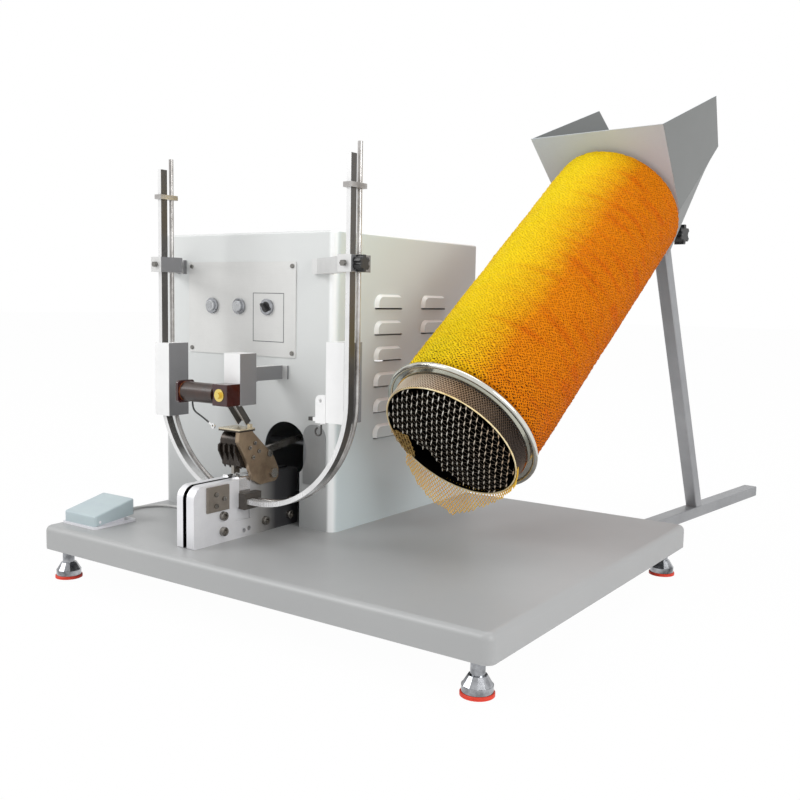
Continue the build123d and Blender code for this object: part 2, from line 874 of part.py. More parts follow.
# Jaws in their pockets, with a lead-in towards the slot, and the grooved anvil between them
with BuildPart() as die_jaws:
    with BuildSketch(front_plane(jaw_from_front + jaw_depth)):
        with BuildLine():
            Polyline(across(block_from_left, pocket_floor), across(slot_left, pocket_floor),
                     across(slot_left, jaw_top - jaw_lead), across(slot_left - jaw_lead, jaw_top),
                     across(block_from_left, jaw_top), close=True)
        make_face()
        with BuildLine():
            Polyline(across(block_right, pocket_floor), across(slot_right, pocket_floor),
                     across(slot_right, jaw_top - jaw_lead), across(slot_right + jaw_lead, jaw_top),
                     across(block_right, jaw_top), close=True)
        make_face()
    extrude(amount=jaw_depth)
    fillet(die_jaws.edges().filter_by(Axis.Y).group_by(Axis.X)[0].sort_by(Axis.Z)[-1], jaw_corner)
    fillet(die_jaws.edges().filter_by(Axis.Y).group_by(Axis.X)[-1].sort_by(Axis.Z)[-1], jaw_corner)
    with BuildSketch(side_plane(slot_left + running_clearance)):
        with Locations(along(jaw_middle_y, (pocket_floor + anvil_top) / 2)):
            Rectangle(anvil_depth, anvil_top - pocket_floor)
        with Locations(along(jaw_middle_y, anvil_top)):
            Circle(anvil_groove, mode=Mode.SUBTRACT)
    extrude(amount=slot_width - 2 * running_clearance)
die_jaws.part.label = "die_jaws"
export_step(die_jaws.part, "parts/die_jaws.step")

# Clip guide: takes the ends of the right rail and its rod
rail_half = rail_width / 2
rail_middle_y = rail_from_front + rail_depth / 2
with BuildPart() as clip_guide:
    with BuildSketch(side_plane(block_right)):
        with Locations(guide_middle):
            Rectangle(guide_length, guide_height)
        with Locations(along(rail_middle_y, rail_bottom_z)):
            Rectangle(rail_depth + 2 * running_clearance, rail_width + 2 * running_clearance,
                      mode=Mode.SUBTRACT)
        with Locations(along(rod_rail_from_front, rail_bottom_z)):
            Circle(rod_rail_d / 2 + running_clearance, mode=Mode.SUBTRACT)
    extrude(amount=guide_thickness)
clip_guide.part.label = "clip_guide"
export_step(clip_guide.part, "parts/clip_guide.step")

# Punch head: finned housing, side plate and punch swing together on the head pin
with BuildPart() as head_pin:
    with BuildSketch(side_plane(slot_right)):
        with Locations(along(head_pivot_y, head_pivot_z)):
            Circle(head_pin_d / 2)
    extrude(amount=side_plate_right + head_side_gap - slot_right)
    with BuildSketch(side_plane(side_plate_right + head_side_gap)):
        with Locations(along(head_pivot_y, head_pivot_z)):
            RegularPolygon(head_nut_radius, 6)
    extrude(amount=screw_head_height * 2)
head_pin.part.label = "head_pin"
export_step(head_pin.part, "parts/head_pin.step")

fin_pitch = (head_width - fin_thickness) / (fin_count - 1)
fin_planes = [side_plane(head_left + index * fin_pitch) for index in range(fin_count)]
with BuildPart() as punch_housing:
    with BuildSketch(side_plane(head_left)) as housing_outline:
        with BuildLine():
            Polyline(along(151, 122), along(172, 115), along(182, 124), along(182, 181),
                     along(147, 181), along(145, 150), close=True)
        make_face()
        upper_front = housing_outline.vertices().group_by(Axis.Y)[-1].sort_by(Axis.X)[0]
        fillet(upper_front, head_round)
    extrude(amount=side_plate_left - head_left)
    for fin_plane in fin_planes:
        with BuildSketch(fin_plane):
            with BuildLine():
                Polyline(along(156, 117), along(140, 147), along(140, 157), along(150, 162), close=True)
            make_face()
        extrude(amount=fin_thickness)
    with BuildSketch(Plane.XY.offset(deck + flange_height)):
        with Locations(((left + (head_left + side_plate_right) / 2), front + flange_middle)):
            RectangleRounded(side_plate_right - head_left, flange_depth, 3)
    extrude(amount=head_flange_thickness)
    with BuildSketch(level_plane(flange_height)):
        with Locations(plan(side_plate_left, flange_middle + flange_depth / 2 - flange_tab)):
            Rectangle(flange_tab, flange_tab)
    extrude(amount=head_flange_thickness + flange_tab)
    with BuildSketch(level_plane(punch_root)):
        with Locations(plan(slot_middle, jaw_middle_y)):
            Rectangle(punch_thickness + 2 * running_clearance, punch_depth + 2 * running_clearance)
    extrude(amount=-punch_root, mode=Mode.SUBTRACT)
punch_housing.part.label = "punch_housing"
export_step(punch_housing.part, "parts/punch_housing.step")

with BuildPart() as punch_blade:
    with BuildSketch(side_plane(slot_middle - punch_thickness / 2)):
        with Locations(along(jaw_middle_y, (punch_tip + punch_root) / 2)):
            Rectangle(punch_depth, punch_root - punch_tip)
        with Locations(along(jaw_middle_y, punch_tip)):
            Circle(anvil_groove, mode=Mode.SUBTRACT)
    extrude(amount=punch_thickness)
punch_blade.part.label = "punch_blade"
export_step(punch_blade.part, "parts/punch_blade.step")

side_screws = [along(*place) for place in ((177, 160), (165, 153), (187, 145), (173, 136))]
with BuildPart() as punch_side_plate:
    with BuildSketch(side_plane(side_plate_left)) as side_plate_outline:
        with BuildLine():
            Polyline(along(141, 181), along(172, 181), along(226, 132), along(238, 110),
                     along(238, 88), along(192, 86), along(175, 96), along(160, 128),
                     along(139, 165), close=True)
        make_face()
        fillet(side_plate_outline.vertices().group_by(Axis.X)[-1], side_plate_corner)
        with Locations(along(head_pivot_y, head_pivot_z)):
            Circle(head_pin_d / 2 + running_clearance, mode=Mode.SUBTRACT)
        with Locations(along(rod_pin_y, rod_pin_z)):
            Circle(rod_pin_d / 2 + running_clearance, mode=Mode.SUBTRACT)
        with Locations(*side_screws):
            Circle(screw_shank_d / 2 + running_clearance, mode=Mode.SUBTRACT)
    extrude(amount=side_plate_thickness)
    chamfer(punch_side_plate.faces().sort_by(Axis.X)[-1].outer_wire().edges(), side_plate_chamfer)
punch_side_plate.part.label = "punch_side_plate"
export_step(punch_side_plate.part, "parts/punch_side_plate.step")

with BuildPart() as punch_screws:
    with BuildSketch(side_plane(side_plate_right)):
        with Locations(*side_screws):
            Circle(side_screw_head_d / 2)
    extrude(amount=screw_head_height)
    with BuildSketch(side_plane(side_plate_right + screw_head_height)):
        with Locations(*side_screws):
            RegularPolygon(side_screw_head_d / 4, 6)
    extrude(amount=-screw_head_height / 2, mode=Mode.SUBTRACT)
    with BuildSketch(side_plane(side_plate_right)):
        with Locations(*side_screws):
            Circle(screw_shank_d / 2)
    extrude(amount=-side_plate_thickness)
    with BuildSketch(side_plane(side_plate_right)):
        with Locations(along(rod_pin_y, rod_pin_z)):
            Circle(rod_pin_d / 2)
    extrude(amount=-(side_plate_right - rod_from_left))
    with BuildSketch(side_plane(side_plate_right)):
        with Locations(along(rod_pin_y, rod_pin_z)):
            Circle(rod_pin_d / 2 + 2)
    extrude(amount=screw_head_height)
punch_screws.part.label = "punch_screws"
export_step(punch_screws.part, "parts/punch_screws.step")

# Drive rod: eye on the head's pin, roller at the cam
rod_run = roller_y - rod_pin_y
rod_slope = degrees(atan2(roller_z - rod_pin_z, rod_run))
rod_length = hypot(rod_run, roller_z - rod_pin_z)
rod_right = rod_from_left + rod_thickness
cam_left = rod_right + head_side_gap
rod_line = Location((*along((rod_pin_y + roller_y) / 2, (rod_pin_z + roller_z) / 2), 0), rod_slope)
with BuildPart() as drive_rod:
    with BuildSketch(side_plane(rod_from_left)):
        with Locations(rod_line):
            Rectangle(rod_length, rod_height)
        with Locations(along(rod_pin_y, rod_pin_z), along(roller_y, roller_z)):
            Circle(rod_eye_radius)
        with Locations(along(rod_pin_y, rod_pin_z)):
            Circle(rod_pin_d / 2 + running_clearance, mode=Mode.SUBTRACT)
    extrude(amount=rod_thickness)
    with BuildSketch(side_plane(rod_right)):
        with Locations(along(roller_y, roller_z)):
            Circle(rod_pin_d / 2)
    extrude(amount=head_side_gap)
    with BuildSketch(side_plane(cam_left)):
        with Locations(along(roller_y, roller_z)):
            Circle(roller_radius)
    extrude(amount=cam_thickness)
drive_rod.part.label = "drive_rod"
export_step(drive_rod.part, "parts/drive_rod.step")

# Cam: its radius grows evenly over the half turn that pushes the rod
pin_arm = Vector(rod_pin_y - head_pivot_y, rod_pin_z - head_pivot_z, 0)
pin_pressed = pin_arm.rotate(Axis.Z, head_swing)
rod_pressed_slope = asin((roller_z - head_pivot_z - pin_pressed.Y) / rod_length)
roller_pressed = pin_pressed.X + rod_length * cos(rod_pressed_slope)
cam_rise = roller_y - head_pivot_y - roller_pressed
rod_to_head = degrees(rod_pressed_slope) - rod_slope - head_swing
print("cam rise", round(cam_rise, 3), "rod to head", round(rod_to_head, 3))


def cam_point(turned):
    """Point of the cam's edge, counted from the side that rests on the roller."""
    radius = cam_radius + cam_rise * min(turned, 360 - turned) / cam_turn
    angle = radians(180 - turned)
    centre = along(cam_centre_y, roller_z)
    return (centre[0] + radius * cos(angle), centre[1] + radius * sin(angle))


cam_step = cam_turn / cam_steps
cam_half = [cam_point(index * cam_step) for index in range(cam_steps + 1)]
cam_back = [cam_point(cam_turn + index * cam_step) for index in range(cam_steps + 1)]
shaft_end = bracket_right + bracket_thickness + bush_flange
with BuildPart() as drive_cam:
    with BuildSketch(side_plane(cam_left)):
        with BuildLine():
            Spline(*cam_half)
            Spline(*cam_back)
        make_face()
    extrude(amount=cam_thickness)
    with BuildSketch(side_plane(cam_left - cam_thickness * 2)):
        with Locations(along(cam_centre_y, roller_z)):
            Circle(cam_hub_d / 2)
    extrude(amount=cam_thickness * 2)
    with BuildSketch(side_plane(bracket_left - shaft_into_gearbox)):
        with Locations(along(cam_centre_y, roller_z)):
            Circle(shaft_d / 2)
    extrude(amount=shaft_end - bracket_left + shaft_into_gearbox)
drive_cam.part.label = "drive_cam"
export_step(drive_cam.part, "parts/drive_cam.step")

# Drive bracket: two uprights with a foot each, tied by the bar that carries the rod
bracket_middle_y = bracket_from_front + bracket_length / 2
bush_outer = shaft_d + 2 * bush_wall
rod_under = rod_pin_z + (guide_bar_y - rod_pin_y) * tan(radians(rod_slope)) - rod_height / 2 / cos(radians(rod_slope))
guide_bar_z = rod_under - guide_bar_gap - guide_bar_d / 2
with BuildPart() as drive_bracket:
    for upright_left in (bracket_left, bracket_right):
        with BuildSketch(side_plane(upright_left)) as upright:
            with Locations(along(bracket_middle_y, bracket_height / 2)):
                Rectangle(bracket_length, bracket_height)
            chamfer(upright.vertices().group_by(Axis.Y)[-1], bracket_height / 5)
            with Locations(along(cam_centre_y, roller_z)):
                Circle(bush_outer / 2, mode=Mode.SUBTRACT)
            with Locations(along(bracket_middle_y, bracket_height / 4)):
                SlotOverall(bracket_length / 2, bracket_height / 5, mode=Mode.SUBTRACT)
        extrude(amount=bracket_thickness)
    with BuildSketch(level_plane(0)):
        with Locations(plan(bracket_left - bracket_foot / 2, bracket_middle_y),
                       plan(bracket_right + bracket_thickness + bracket_foot / 2, bracket_middle_y)):
            Rectangle(bracket_foot, bracket_length)
    extrude(amount=bracket_thickness)
    with BuildSketch(side_plane(bracket_left + bracket_thickness)):
        with Locations(along(guide_bar_y, guide_bar_z)):
            Circle(guide_bar_d / 2)
    extrude(amount=bracket_right - bracket_left - bracket_thickness)
    for bush_start, flange_start in ((bracket_left, bracket_left + bracket_thickness),
                                     (bracket_right, bracket_right - bush_flange)):
        with BuildSketch(side_plane(bush_start)):
            with Locations(along(cam_centre_y, roller_z)):
                Circle(bush_outer / 2)
                Circle(shaft_d / 2 + running_clearance, mode=Mode.SUBTRACT)
        extrude(amount=bracket_thickness)
        with BuildSketch(side_plane(flange_start)):
            with Locations(along(cam_centre_y, roller_z)):
                Circle(bush_outer / 2 + bush_wall)
                Circle(shaft_d / 2 + running_clearance, mode=Mode.SUBTRACT)
        extrude(amount=bush_flange)
drive_bracket.part.label = "drive_bracket"
export_step(drive_bracket.part, "parts/drive_bracket.step")

motor_start = bracket_left - gearbox_length
with BuildPart() as gear_motor:
    with BuildSketch(side_plane(bracket_left)):
        with Locations(along(cam_centre_y, roller_z)):
            RectangleRounded(gearbox_side, gearbox_side, 6)
    extrude(amount=-gearbox_length)
    with BuildSketch(side_plane(bracket_left)):
        with Locations(along(cam_centre_y, roller_z)):
            Circle(shaft_d / 2 + running_clearance)
    extrude(amount=-shaft_into_gearbox - gap, mode=Mode.SUBTRACT)
    with BuildSketch(side_plane(motor_start)):
        with Locations(along(cam_centre_y, roller_z)):
            Circle(motor_d / 2)
    extrude(amount=-motor_length)
    fillet(gear_motor.edges().group_by(Axis.X)[0], 6)
    with BuildSketch(side_plane(motor_start)):
        with Locations(along(cam_centre_y, roller_z)):
            with PolarLocations(motor_d / 2, motor_fins):
                Rectangle(motor_fin_depth, motor_fin_width)
    extrude(amount=-motor_fin_length)
gear_motor.part.label = "gear_motor"
export_step(gear_motor.part, "parts/gear_motor.step")

supply_x = cabinet_right - supply_from_wall - supply_length / 2
supply_y = cabinet_from_front + cabinet_depth - supply_from_rear - supply_depth / 2
with BuildPart() as control_box:
    with BuildSketch(level_plane(0)):
        with Locations(plan(supply_x, supply_y)):
            RectangleRounded(supply_length, supply_depth, supply_corner)
    extrude(amount=supply_height)
    with BuildSketch(level_plane(supply_height)):
        with Locations(plan(supply_x, supply_y)):
            with GridLocations(1, vent_pitch_z, 1, 4):
                SlotOverall(vent_length, vent_width)
    extrude(amount=-2, mode=Mode.SUBTRACT)
control_box.part.label = "control_box"
export_step(control_box.part, "parts/control_box.step")

# Clip rails: flat front rail and round rod behind it, bent to the same curve
rail_seat = block_right + gap
left_rail_end = block_from_left - gap
left_rail_centre_x = rail_left_x + rail_radius
right_rail_centre_x = rail_right_x - rail_radius
quadrant = rail_radius + rail_half
with BuildPart() as left_rail:
    with BuildSketch(front_plane(rail_from_front + rail_depth)):
        with Locations(across(left_rail_centre_x, rail_centre_z)):
            Circle(rail_radius + rail_half)
            Circle(rail_radius - rail_half, mode=Mode.SUBTRACT)
        with Locations(across(left_rail_end, rail_centre_z)):
            Rectangle(quadrant, quadrant, align=(Align.MAX, Align.MAX), mode=Mode.INTERSECT)
        with Locations(across(rail_left_x, rail_centre_z)):
            Rectangle(rail_width, rail_top - rail_centre_z, align=(Align.CENTER, Align.MIN))
    extrude(amount=rail_depth)
left_rail.part.label = "left_rail"
export_step(left_rail.part, "parts/left_rail.step")

with BuildPart() as right_rail:
    with BuildSketch(front_plane(rail_from_front + rail_depth)):
        with Locations(across(right_rail_centre_x, rail_centre_z)):
            Circle(rail_radius + rail_half)
            Circle(rail_radius - rail_half, mode=Mode.SUBTRACT)
            Rectangle(quadrant, quadrant, align=(Align.MIN, Align.MAX), mode=Mode.INTERSECT)
        with Locations(across(rail_right_x, rail_centre_z)):
            Rectangle(rail_width, rail_top - rail_centre_z, align=(Align.CENTER, Align.MIN))
        with Locations(across(rail_seat, rail_bottom_z)):
            Rectangle(right_rail_centre_x - rail_seat, rail_width, align=(Align.MIN, Align.CENTER))
    extrude(amount=rail_depth)
right_rail.part.label = "right_rail"
export_step(right_rail.part, "parts/right_rail.step")

left_rod_end = left_rail_end - rod_rail_d / 4
rod_end_drop = sqrt(rail_radius ** 2 - (left_rail_centre_x - left_rod_end) ** 2)
rod_y = front + rod_rail_from_front
# Round rods behind the rails, each held to its rail by a tie near the top
rail_back = rod_rail_from_front + rod_rail_d / 2
rails_middle_y = (rail_from_front + rail_back) / 2
with BuildPart() as rail_rods:
    with BuildLine() as left_rod_line:
        Line((left + rail_left_x, rod_y, deck + rod_rail_top), (left + rail_left_x, rod_y, deck + rail_centre_z))
        TangentArc((left + rail_left_x, rod_y, deck + rail_centre_z),
                   (left + left_rod_end, rod_y, deck + rail_centre_z - rod_end_drop), tangent=(0, 0, -1))
    with BuildSketch(Plane.XY.offset(deck + rod_rail_top)):
        with Locations((left + rail_left_x, rod_y)):
            Circle(rod_rail_d / 2)
    sweep(path=left_rod_line.wires()[0])
    with BuildLine() as right_rod_line:
        Line((left + rail_right_x, rod_y, deck + rod_rail_top),
             (left + rail_right_x, rod_y, deck + rail_centre_z))
        TangentArc((left + rail_right_x, rod_y, deck + rail_centre_z),
                   (left + right_rail_centre_x, rod_y, deck + rail_bottom_z), tangent=(0, 0, -1))
        Line((left + right_rail_centre_x, rod_y, deck + rail_bottom_z),
             (left + rail_seat, rod_y, deck + rail_bottom_z))
    with BuildSketch(Plane.XY.offset(deck + rod_rail_top)):
        with Locations((left + rail_right_x, rod_y)):
            Circle(rod_rail_d / 2)
    sweep(path=right_rod_line.wires()[0])
    with BuildSketch(level_plane(tie_z)):
        for rail_x in (rail_left_x, rail_right_x):
            with Locations(plan(rail_x, rails_middle_y)):
                Rectangle(rail_width + 2 * tie_margin, rail_back - rail_from_front + 2 * tie_margin)
            with Locations(plan(rail_x, rail_middle_y)):
                Rectangle(rail_width + 2 * running_clearance, rail_depth + 2 * running_clearance,
                          mode=Mode.SUBTRACT)
    extrude(amount=tie_height)
rail_rods.part.label = "rail_rods"
export_step(rail_rods.part, "parts/rail_rods.step")

# Brackets: a pad on the cabinet front, a slanting arm and the clamp round rail and rod;
# a straight arm between them carries the centre cover
clamp_width = rail_width + 2 * clamp_margin
clamp_depth = rail_back - rail_from_front + 2 * clamp_margin
clamp_front = rails_middle_y - clamp_depth / 2
clamp_middle_z = clamp_z + clamp_height / 2
centre_back = centre_cover_y + centre_cover_depth


def bracket_plan(rail_x, pad_left):
    """Plan of one bracket, with the holes for the rail and the rod."""
    pad_middle = pad_left + bracket_pad_width / 2
    with BuildSketch(level_plane(clamp_z)) as outline:
        with Locations(plan(pad_middle, cabinet_from_front - arm_width / 2), plan(rail_x, rails_middle_y)):
            Circle(arm_width / 2)
        make_hull()
        with Locations(plan(pad_middle, cabinet_from_front)):
            Rectangle(bracket_pad_width, bracket_pad_thickness, align=(Align.CENTER, Align.MAX))
        with Locations(plan(rail_x, rails_middle_y)):
            Rectangle(clamp_width, clamp_depth)
        with Locations(plan(rail_x, rail_middle_y)):
            Rectangle(rail_width + 2 * running_clearance, rail_depth + 2 * running_clearance,
                      mode=Mode.SUBTRACT)
        with Locations(plan(rail_x, rod_rail_from_front)):
            Circle(rod_rail_d / 2 + running_clearance, mode=Mode.SUBTRACT)
    return outline.sketch


left_bracket_plan = bracket_plan(rail_left_x, left_pad_x)
right_bracket_plan = bracket_plan(rail_right_x, right_pad_x)
clamp_side = rail_right_x + clamp_width / 2
with BuildPart() as rail_brackets:
    extrude(left_bracket_plan, amount=clamp_height)
    extrude(right_bracket_plan, amount=clamp_height)
    with BuildSketch(front_plane(clamp_front)):
        with Locations(across(rail_left_x, clamp_middle_z), across(rail_right_x, clamp_middle_z)):
            Circle(clamp_knob_stud_d / 2 + running_clearance)
    extrude(amount=-clamp_margin, mode=Mode.SUBTRACT)
    with BuildSketch(side_plane(clamp_side)):
        with Locations(along(rail_middle_y, clamp_middle_z)):
            Circle(clamp_knob_stud_d / 2 + running_clearance)
    extrude(amount=-clamp_margin, mode=Mode.SUBTRACT)
    with BuildSketch(level_plane(centre_arm_z)):
        with Locations(plan(slot_middle, centre_back)):
            Rectangle(centre_arm_width, cabinet_from_front - centre_back, align=(Align.CENTER, Align.MIN))
            Rectangle(centre_cover_width, bracket_pad_thickness / 2, align=(Align.CENTER, Align.MIN))
        with Locations(plan(slot_middle, cabinet_from_front)):
            Rectangle(bracket_pad_width, bracket_pad_thickness / 2, align=(Align.CENTER, Align.MAX))
    extrude(amount=centre_arm_height)
rail_brackets.part.label = "rail_brackets"
export_step(rail_brackets.part, "parts/rail_brackets.step")

with BuildPart() as clamp_knob:
    with BuildSketch(side_plane(clamp_side + gap)):
        with Locations(along(rail_middle_y, clamp_middle_z)):
            Circle(clamp_knob_d / 2)
            with PolarLocations(clamp_knob_d / 2, knob_lobes):
                Circle(knob_lobe_d / 4, mode=Mode.SUBTRACT)
    extrude(amount=clamp_knob_width)
    chamfer(clamp_knob.faces().sort_by(Axis.X)[-1].outer_wire().edges(), 1)
    with BuildSketch(side_plane(clamp_side + gap)):
        with Locations(along(rail_middle_y, clamp_middle_z)):
            Circle(clamp_knob_stud_d / 2)
    extrude(amount=-clamp_margin)
clamp_knob.part.label = "clamp_knob"
export_step(clamp_knob.part, "parts/clamp_knob.step")

# Cover boxes: sheet sleeves, open below; a web inside each side box holds it on the rail
with BuildPart() as left_cover:
    with BuildSketch(level_plane(left_cover_bottom)):
        with Locations(plan(left_cover_x + cover_width / 2, left_cover_y + cover_depth / 2)):
            RectangleRounded(cover_width, cover_depth, cover_wall)
            Rectangle(cover_width - 2 * cover_wall, cover_depth - 2 * cover_wall, mode=Mode.SUBTRACT)
    extrude(amount=left_cover_height)
    with BuildSketch(level_plane(left_cover_bottom + left_cover_height - cover_web)):
        with Locations(plan(left_cover_x + cover_width / 2, left_cover_y + cover_depth / 2)):
            Rectangle(cover_width - cover_wall, cover_depth - cover_wall)
        with Locations(plan(rail_left_x, rail_middle_y)):
            Rectangle(rail_width + 2 * running_clearance, rail_depth + 2 * running_clearance,
                      mode=Mode.SUBTRACT)
        with Locations(plan(rail_left_x, rod_rail_from_front)):
            Circle(rod_rail_d / 2 + running_clearance, mode=Mode.SUBTRACT)
    extrude(amount=cover_web)
left_cover.part.label = "left_cover"
export_step(left_cover.part, "parts/left_cover.step")

right_cover_right = right_cover_x + cover_width
rail_inner = rail_right_x - rail_half
with BuildPart() as right_cover:
    with BuildSketch(level_plane(right_cover_bottom)):
        with Locations(plan(right_cover_x + cover_width / 2, right_cover_y + cover_depth / 2)):
            RectangleRounded(cover_width, cover_depth, cover_wall)
            Rectangle(cover_width - 2 * cover_wall, cover_depth - 2 * cover_wall, mode=Mode.SUBTRACT)
    extrude(amount=right_cover_height)
    with BuildSketch(level_plane(right_cover_bottom + right_cover_height - cover_web)):
        with Locations(plan(right_cover_x + cover_width / 2, right_cover_y + cover_depth / 2)):
            Rectangle(cover_width - cover_wall, cover_depth - cover_wall)
    extrude(amount=cover_web)
    with BuildSketch(level_plane(rail_centre_z)):
        with Locations(plan(right_cover_right, right_cover_y)):
            Rectangle(rail_inner - right_cover_right, rail_from_front + rail_depth - right_cover_y,
                      align=(Align.MIN, Align.MIN))
    extrude(amount=right_cover_bottom + right_cover_height - rail_centre_z)
    with BuildSketch(level_plane(right_cover_bottom)):
        with Locations(plan(right_cover_right, right_cover_y)):
            Rectangle(strip_thickness, cover_depth / 2, align=(Align.MIN, Align.MIN))
    extrude(amount=right_cover_height)
right_cover.part.label = "right_cover"
export_step(right_cover.part, "parts/right_cover.step")

centre_middle_x = centre_cover_x + centre_cover_width / 2
with BuildPart() as centre_cover:
    with BuildSketch(level_plane(centre_cover_bottom)):
        with Locations(plan(centre_middle_x, centre_cover_y + centre_cover_depth / 2)):
            RectangleRounded(centre_cover_width, centre_cover_depth, cover_wall)
            Rectangle(centre_cover_width - 2 * cover_wall, centre_cover_depth - 2 * cover_wall,
                      mode=Mode.SUBTRACT)
    extrude(amount=centre_cover_height)
    with BuildSketch(level_plane(centre_cover_bottom + centre_cover_height - cover_wall)):
        with Locations(plan(centre_middle_x, centre_cover_y + centre_cover_depth / 2)):
            Rectangle(centre_cover_width - cover_wall, centre_cover_depth - cover_wall)
    extrude(amount=cover_wall)
centre_cover.part.label = "centre_cover"
export_step(centre_cover.part, "parts/centre_cover.step")

# Centre chute: channel that leads the clips down to the head, hung inside the centre cover
chute_plane = Plane(origin=(left + slot_middle, front + chute_top_y, deck + chute_top_z),
                    x_dir=(1, 0, 0), z_dir=(0, sin(radians(chute_lean)), -cos(radians(chute_lean))))
with BuildPart() as centre_chute:
    with BuildSketch(chute_plane):
        Rectangle(chute_width, chute_depth)
        with Locations((0, chute_wall)):
            Rectangle(chute_width - 2 * chute_wall, chute_depth, mode=Mode.SUBTRACT)
    extrude(amount=chute_length)
    with BuildSketch(level_plane(centre_cover_bottom)):
        with Locations(plan(slot_middle, centre_cover_y + cover_wall)):
            Rectangle(chute_width, chute_foot, align=(Align.CENTER, Align.MIN))
    extrude(amount=centre_cover_height / 2)
centre_chute.part.label = "centre_chute"
export_step(centre_chute.part, "parts/centre_chute.step")

# Feed solenoid on the centre cover: block, coil with two flanges, core
coil_block_right = centre_cover_x + centre_cover_width
coil_block_left = coil_block_right - coil_block_length
coil_block_front = centre_cover_y - coil_block_depth
coil_axis_y = centre_cover_y - coil_d / 2 - gap
coil_axis = along(coil_axis_y, coil_axis_z)
terminal_place = across(coil_block_left + coil_block_length / 2, coil_axis_z)
with BuildPart() as coil_block:
    with BuildSketch(side_plane(coil_block_left)):
        with Locations(along(coil_block_front + coil_block_depth / 2, coil_axis_z)):
            Rectangle(coil_block_depth, coil_block_height)
    extrude(amount=coil_block_length)
    chamfer(coil_block.faces().sort_by(Axis.Y)[0].outer_wire().edges(), 1)
    with BuildSketch(front_plane(coil_block_front)):
        with Locations(terminal_place):
            Circle(screw_shank_d / 2 + running_clearance)
    extrude(amount=-screw_length, mode=Mode.SUBTRACT)
    with BuildSketch(side_plane(coil_block_left - coil_length)):
        with Locations(coil_axis):
            RectangleRounded(coil_flange_d, coil_flange_d, 6)
            Circle(coil_core_d / 2 + running_clearance, mode=Mode.SUBTRACT)
    extrude(amount=-coil_flange_thickness)
coil_block.part.label = "coil_block"
export_step(coil_block.part, "parts/coil_block.step")

with BuildPart() as solenoid_coil:
    with BuildSketch(side_plane(coil_block_left)):
        with Locations(coil_axis):
            Circle(coil_d / 2)
    extrude(amount=-coil_length)
    with BuildSketch(side_plane(coil_block_left)):
        with Locations(coil_axis):
            Circle(coil_core_d / 2)
    extrude(amount=-coil_length - 2 * coil_flange_thickness)
solenoid_coil.part.label = "solenoid_coil"
export_step(solenoid_coil.part, "parts/solenoid_coil.step")

# Screws of the control plate, the rear panel, the clamps and the coil's terminal
with BuildPart() as fixing_screws:
    with BuildSketch(front_plane(plate_face)):
        with Locations(plate_middle):
            with GridLocations(plate_width - 2 * plate_screw_inset,
                               plate_height - 2 * plate_screw_inset, 2, 2):
                Circle(screw_head_d / 2)
    extrude(amount=screw_head_height)
    chamfer(fixing_screws.edges().group_by(Axis.Y)[0], screw_head_height / 3)
    with BuildSketch(front_plane(plate_face)):
        with Locations(plate_middle):
            with GridLocations(plate_width - 2 * plate_screw_inset,
                               plate_height - 2 * plate_screw_inset, 2, 2):
                Circle(screw_shank_d / 2)
    extrude(amount=-screw_length)
    with BuildSketch(front_plane(platform_depth)):
        with Locations(panel_middle):
            with GridLocations(rear_screw_x, rear_screw_z, 2, 2):
                Circle(screw_head_d / 2)
    extrude(amount=-screw_head_height)
    with BuildSketch(front_plane(platform_depth)):
        with Locations(panel_middle):
            with GridLocations(rear_screw_x, rear_screw_z, 2, 2):
                Circle(screw_shank_d / 2)
    extrude(amount=rear_panel_thickness)
    with BuildSketch(front_plane(clamp_front)):
        with Locations(across(rail_left_x, clamp_middle_z), across(rail_right_x, clamp_middle_z)):
            Circle(clamp_knob_stud_d / 2)
    extrude(amount=-clamp_margin + gap)
    with BuildSketch(front_plane(clamp_front)):
        with Locations(across(rail_left_x, clamp_middle_z), across(rail_right_x, clamp_middle_z)):
            RegularPolygon(clamp_screw_d / 2, 6)
    extrude(amount=clamp_screw_head)
    with BuildSketch(front_plane(coil_block_front)):
        with Locations(terminal_place):
            Circle(terminal_washer_d / 2)
    extrude(amount=screw_head_height / 2)
    with BuildSketch(front_plane(coil_block_front - screw_head_height / 2)):
        with Locations(terminal_place):
            RegularPolygon(terminal_head_d / 2, 6)
    extrude(amount=screw_head_height * 2)
    with BuildSketch(front_plane(coil_block_front)):
        with Locations(terminal_place):
            Circle(screw_shank_d / 2)
    extrude(amount=-screw_length)
fixing_screws.part.label = "fixing_screws"
export_step(fixing_screws.part, "parts/fixing_screws.step")

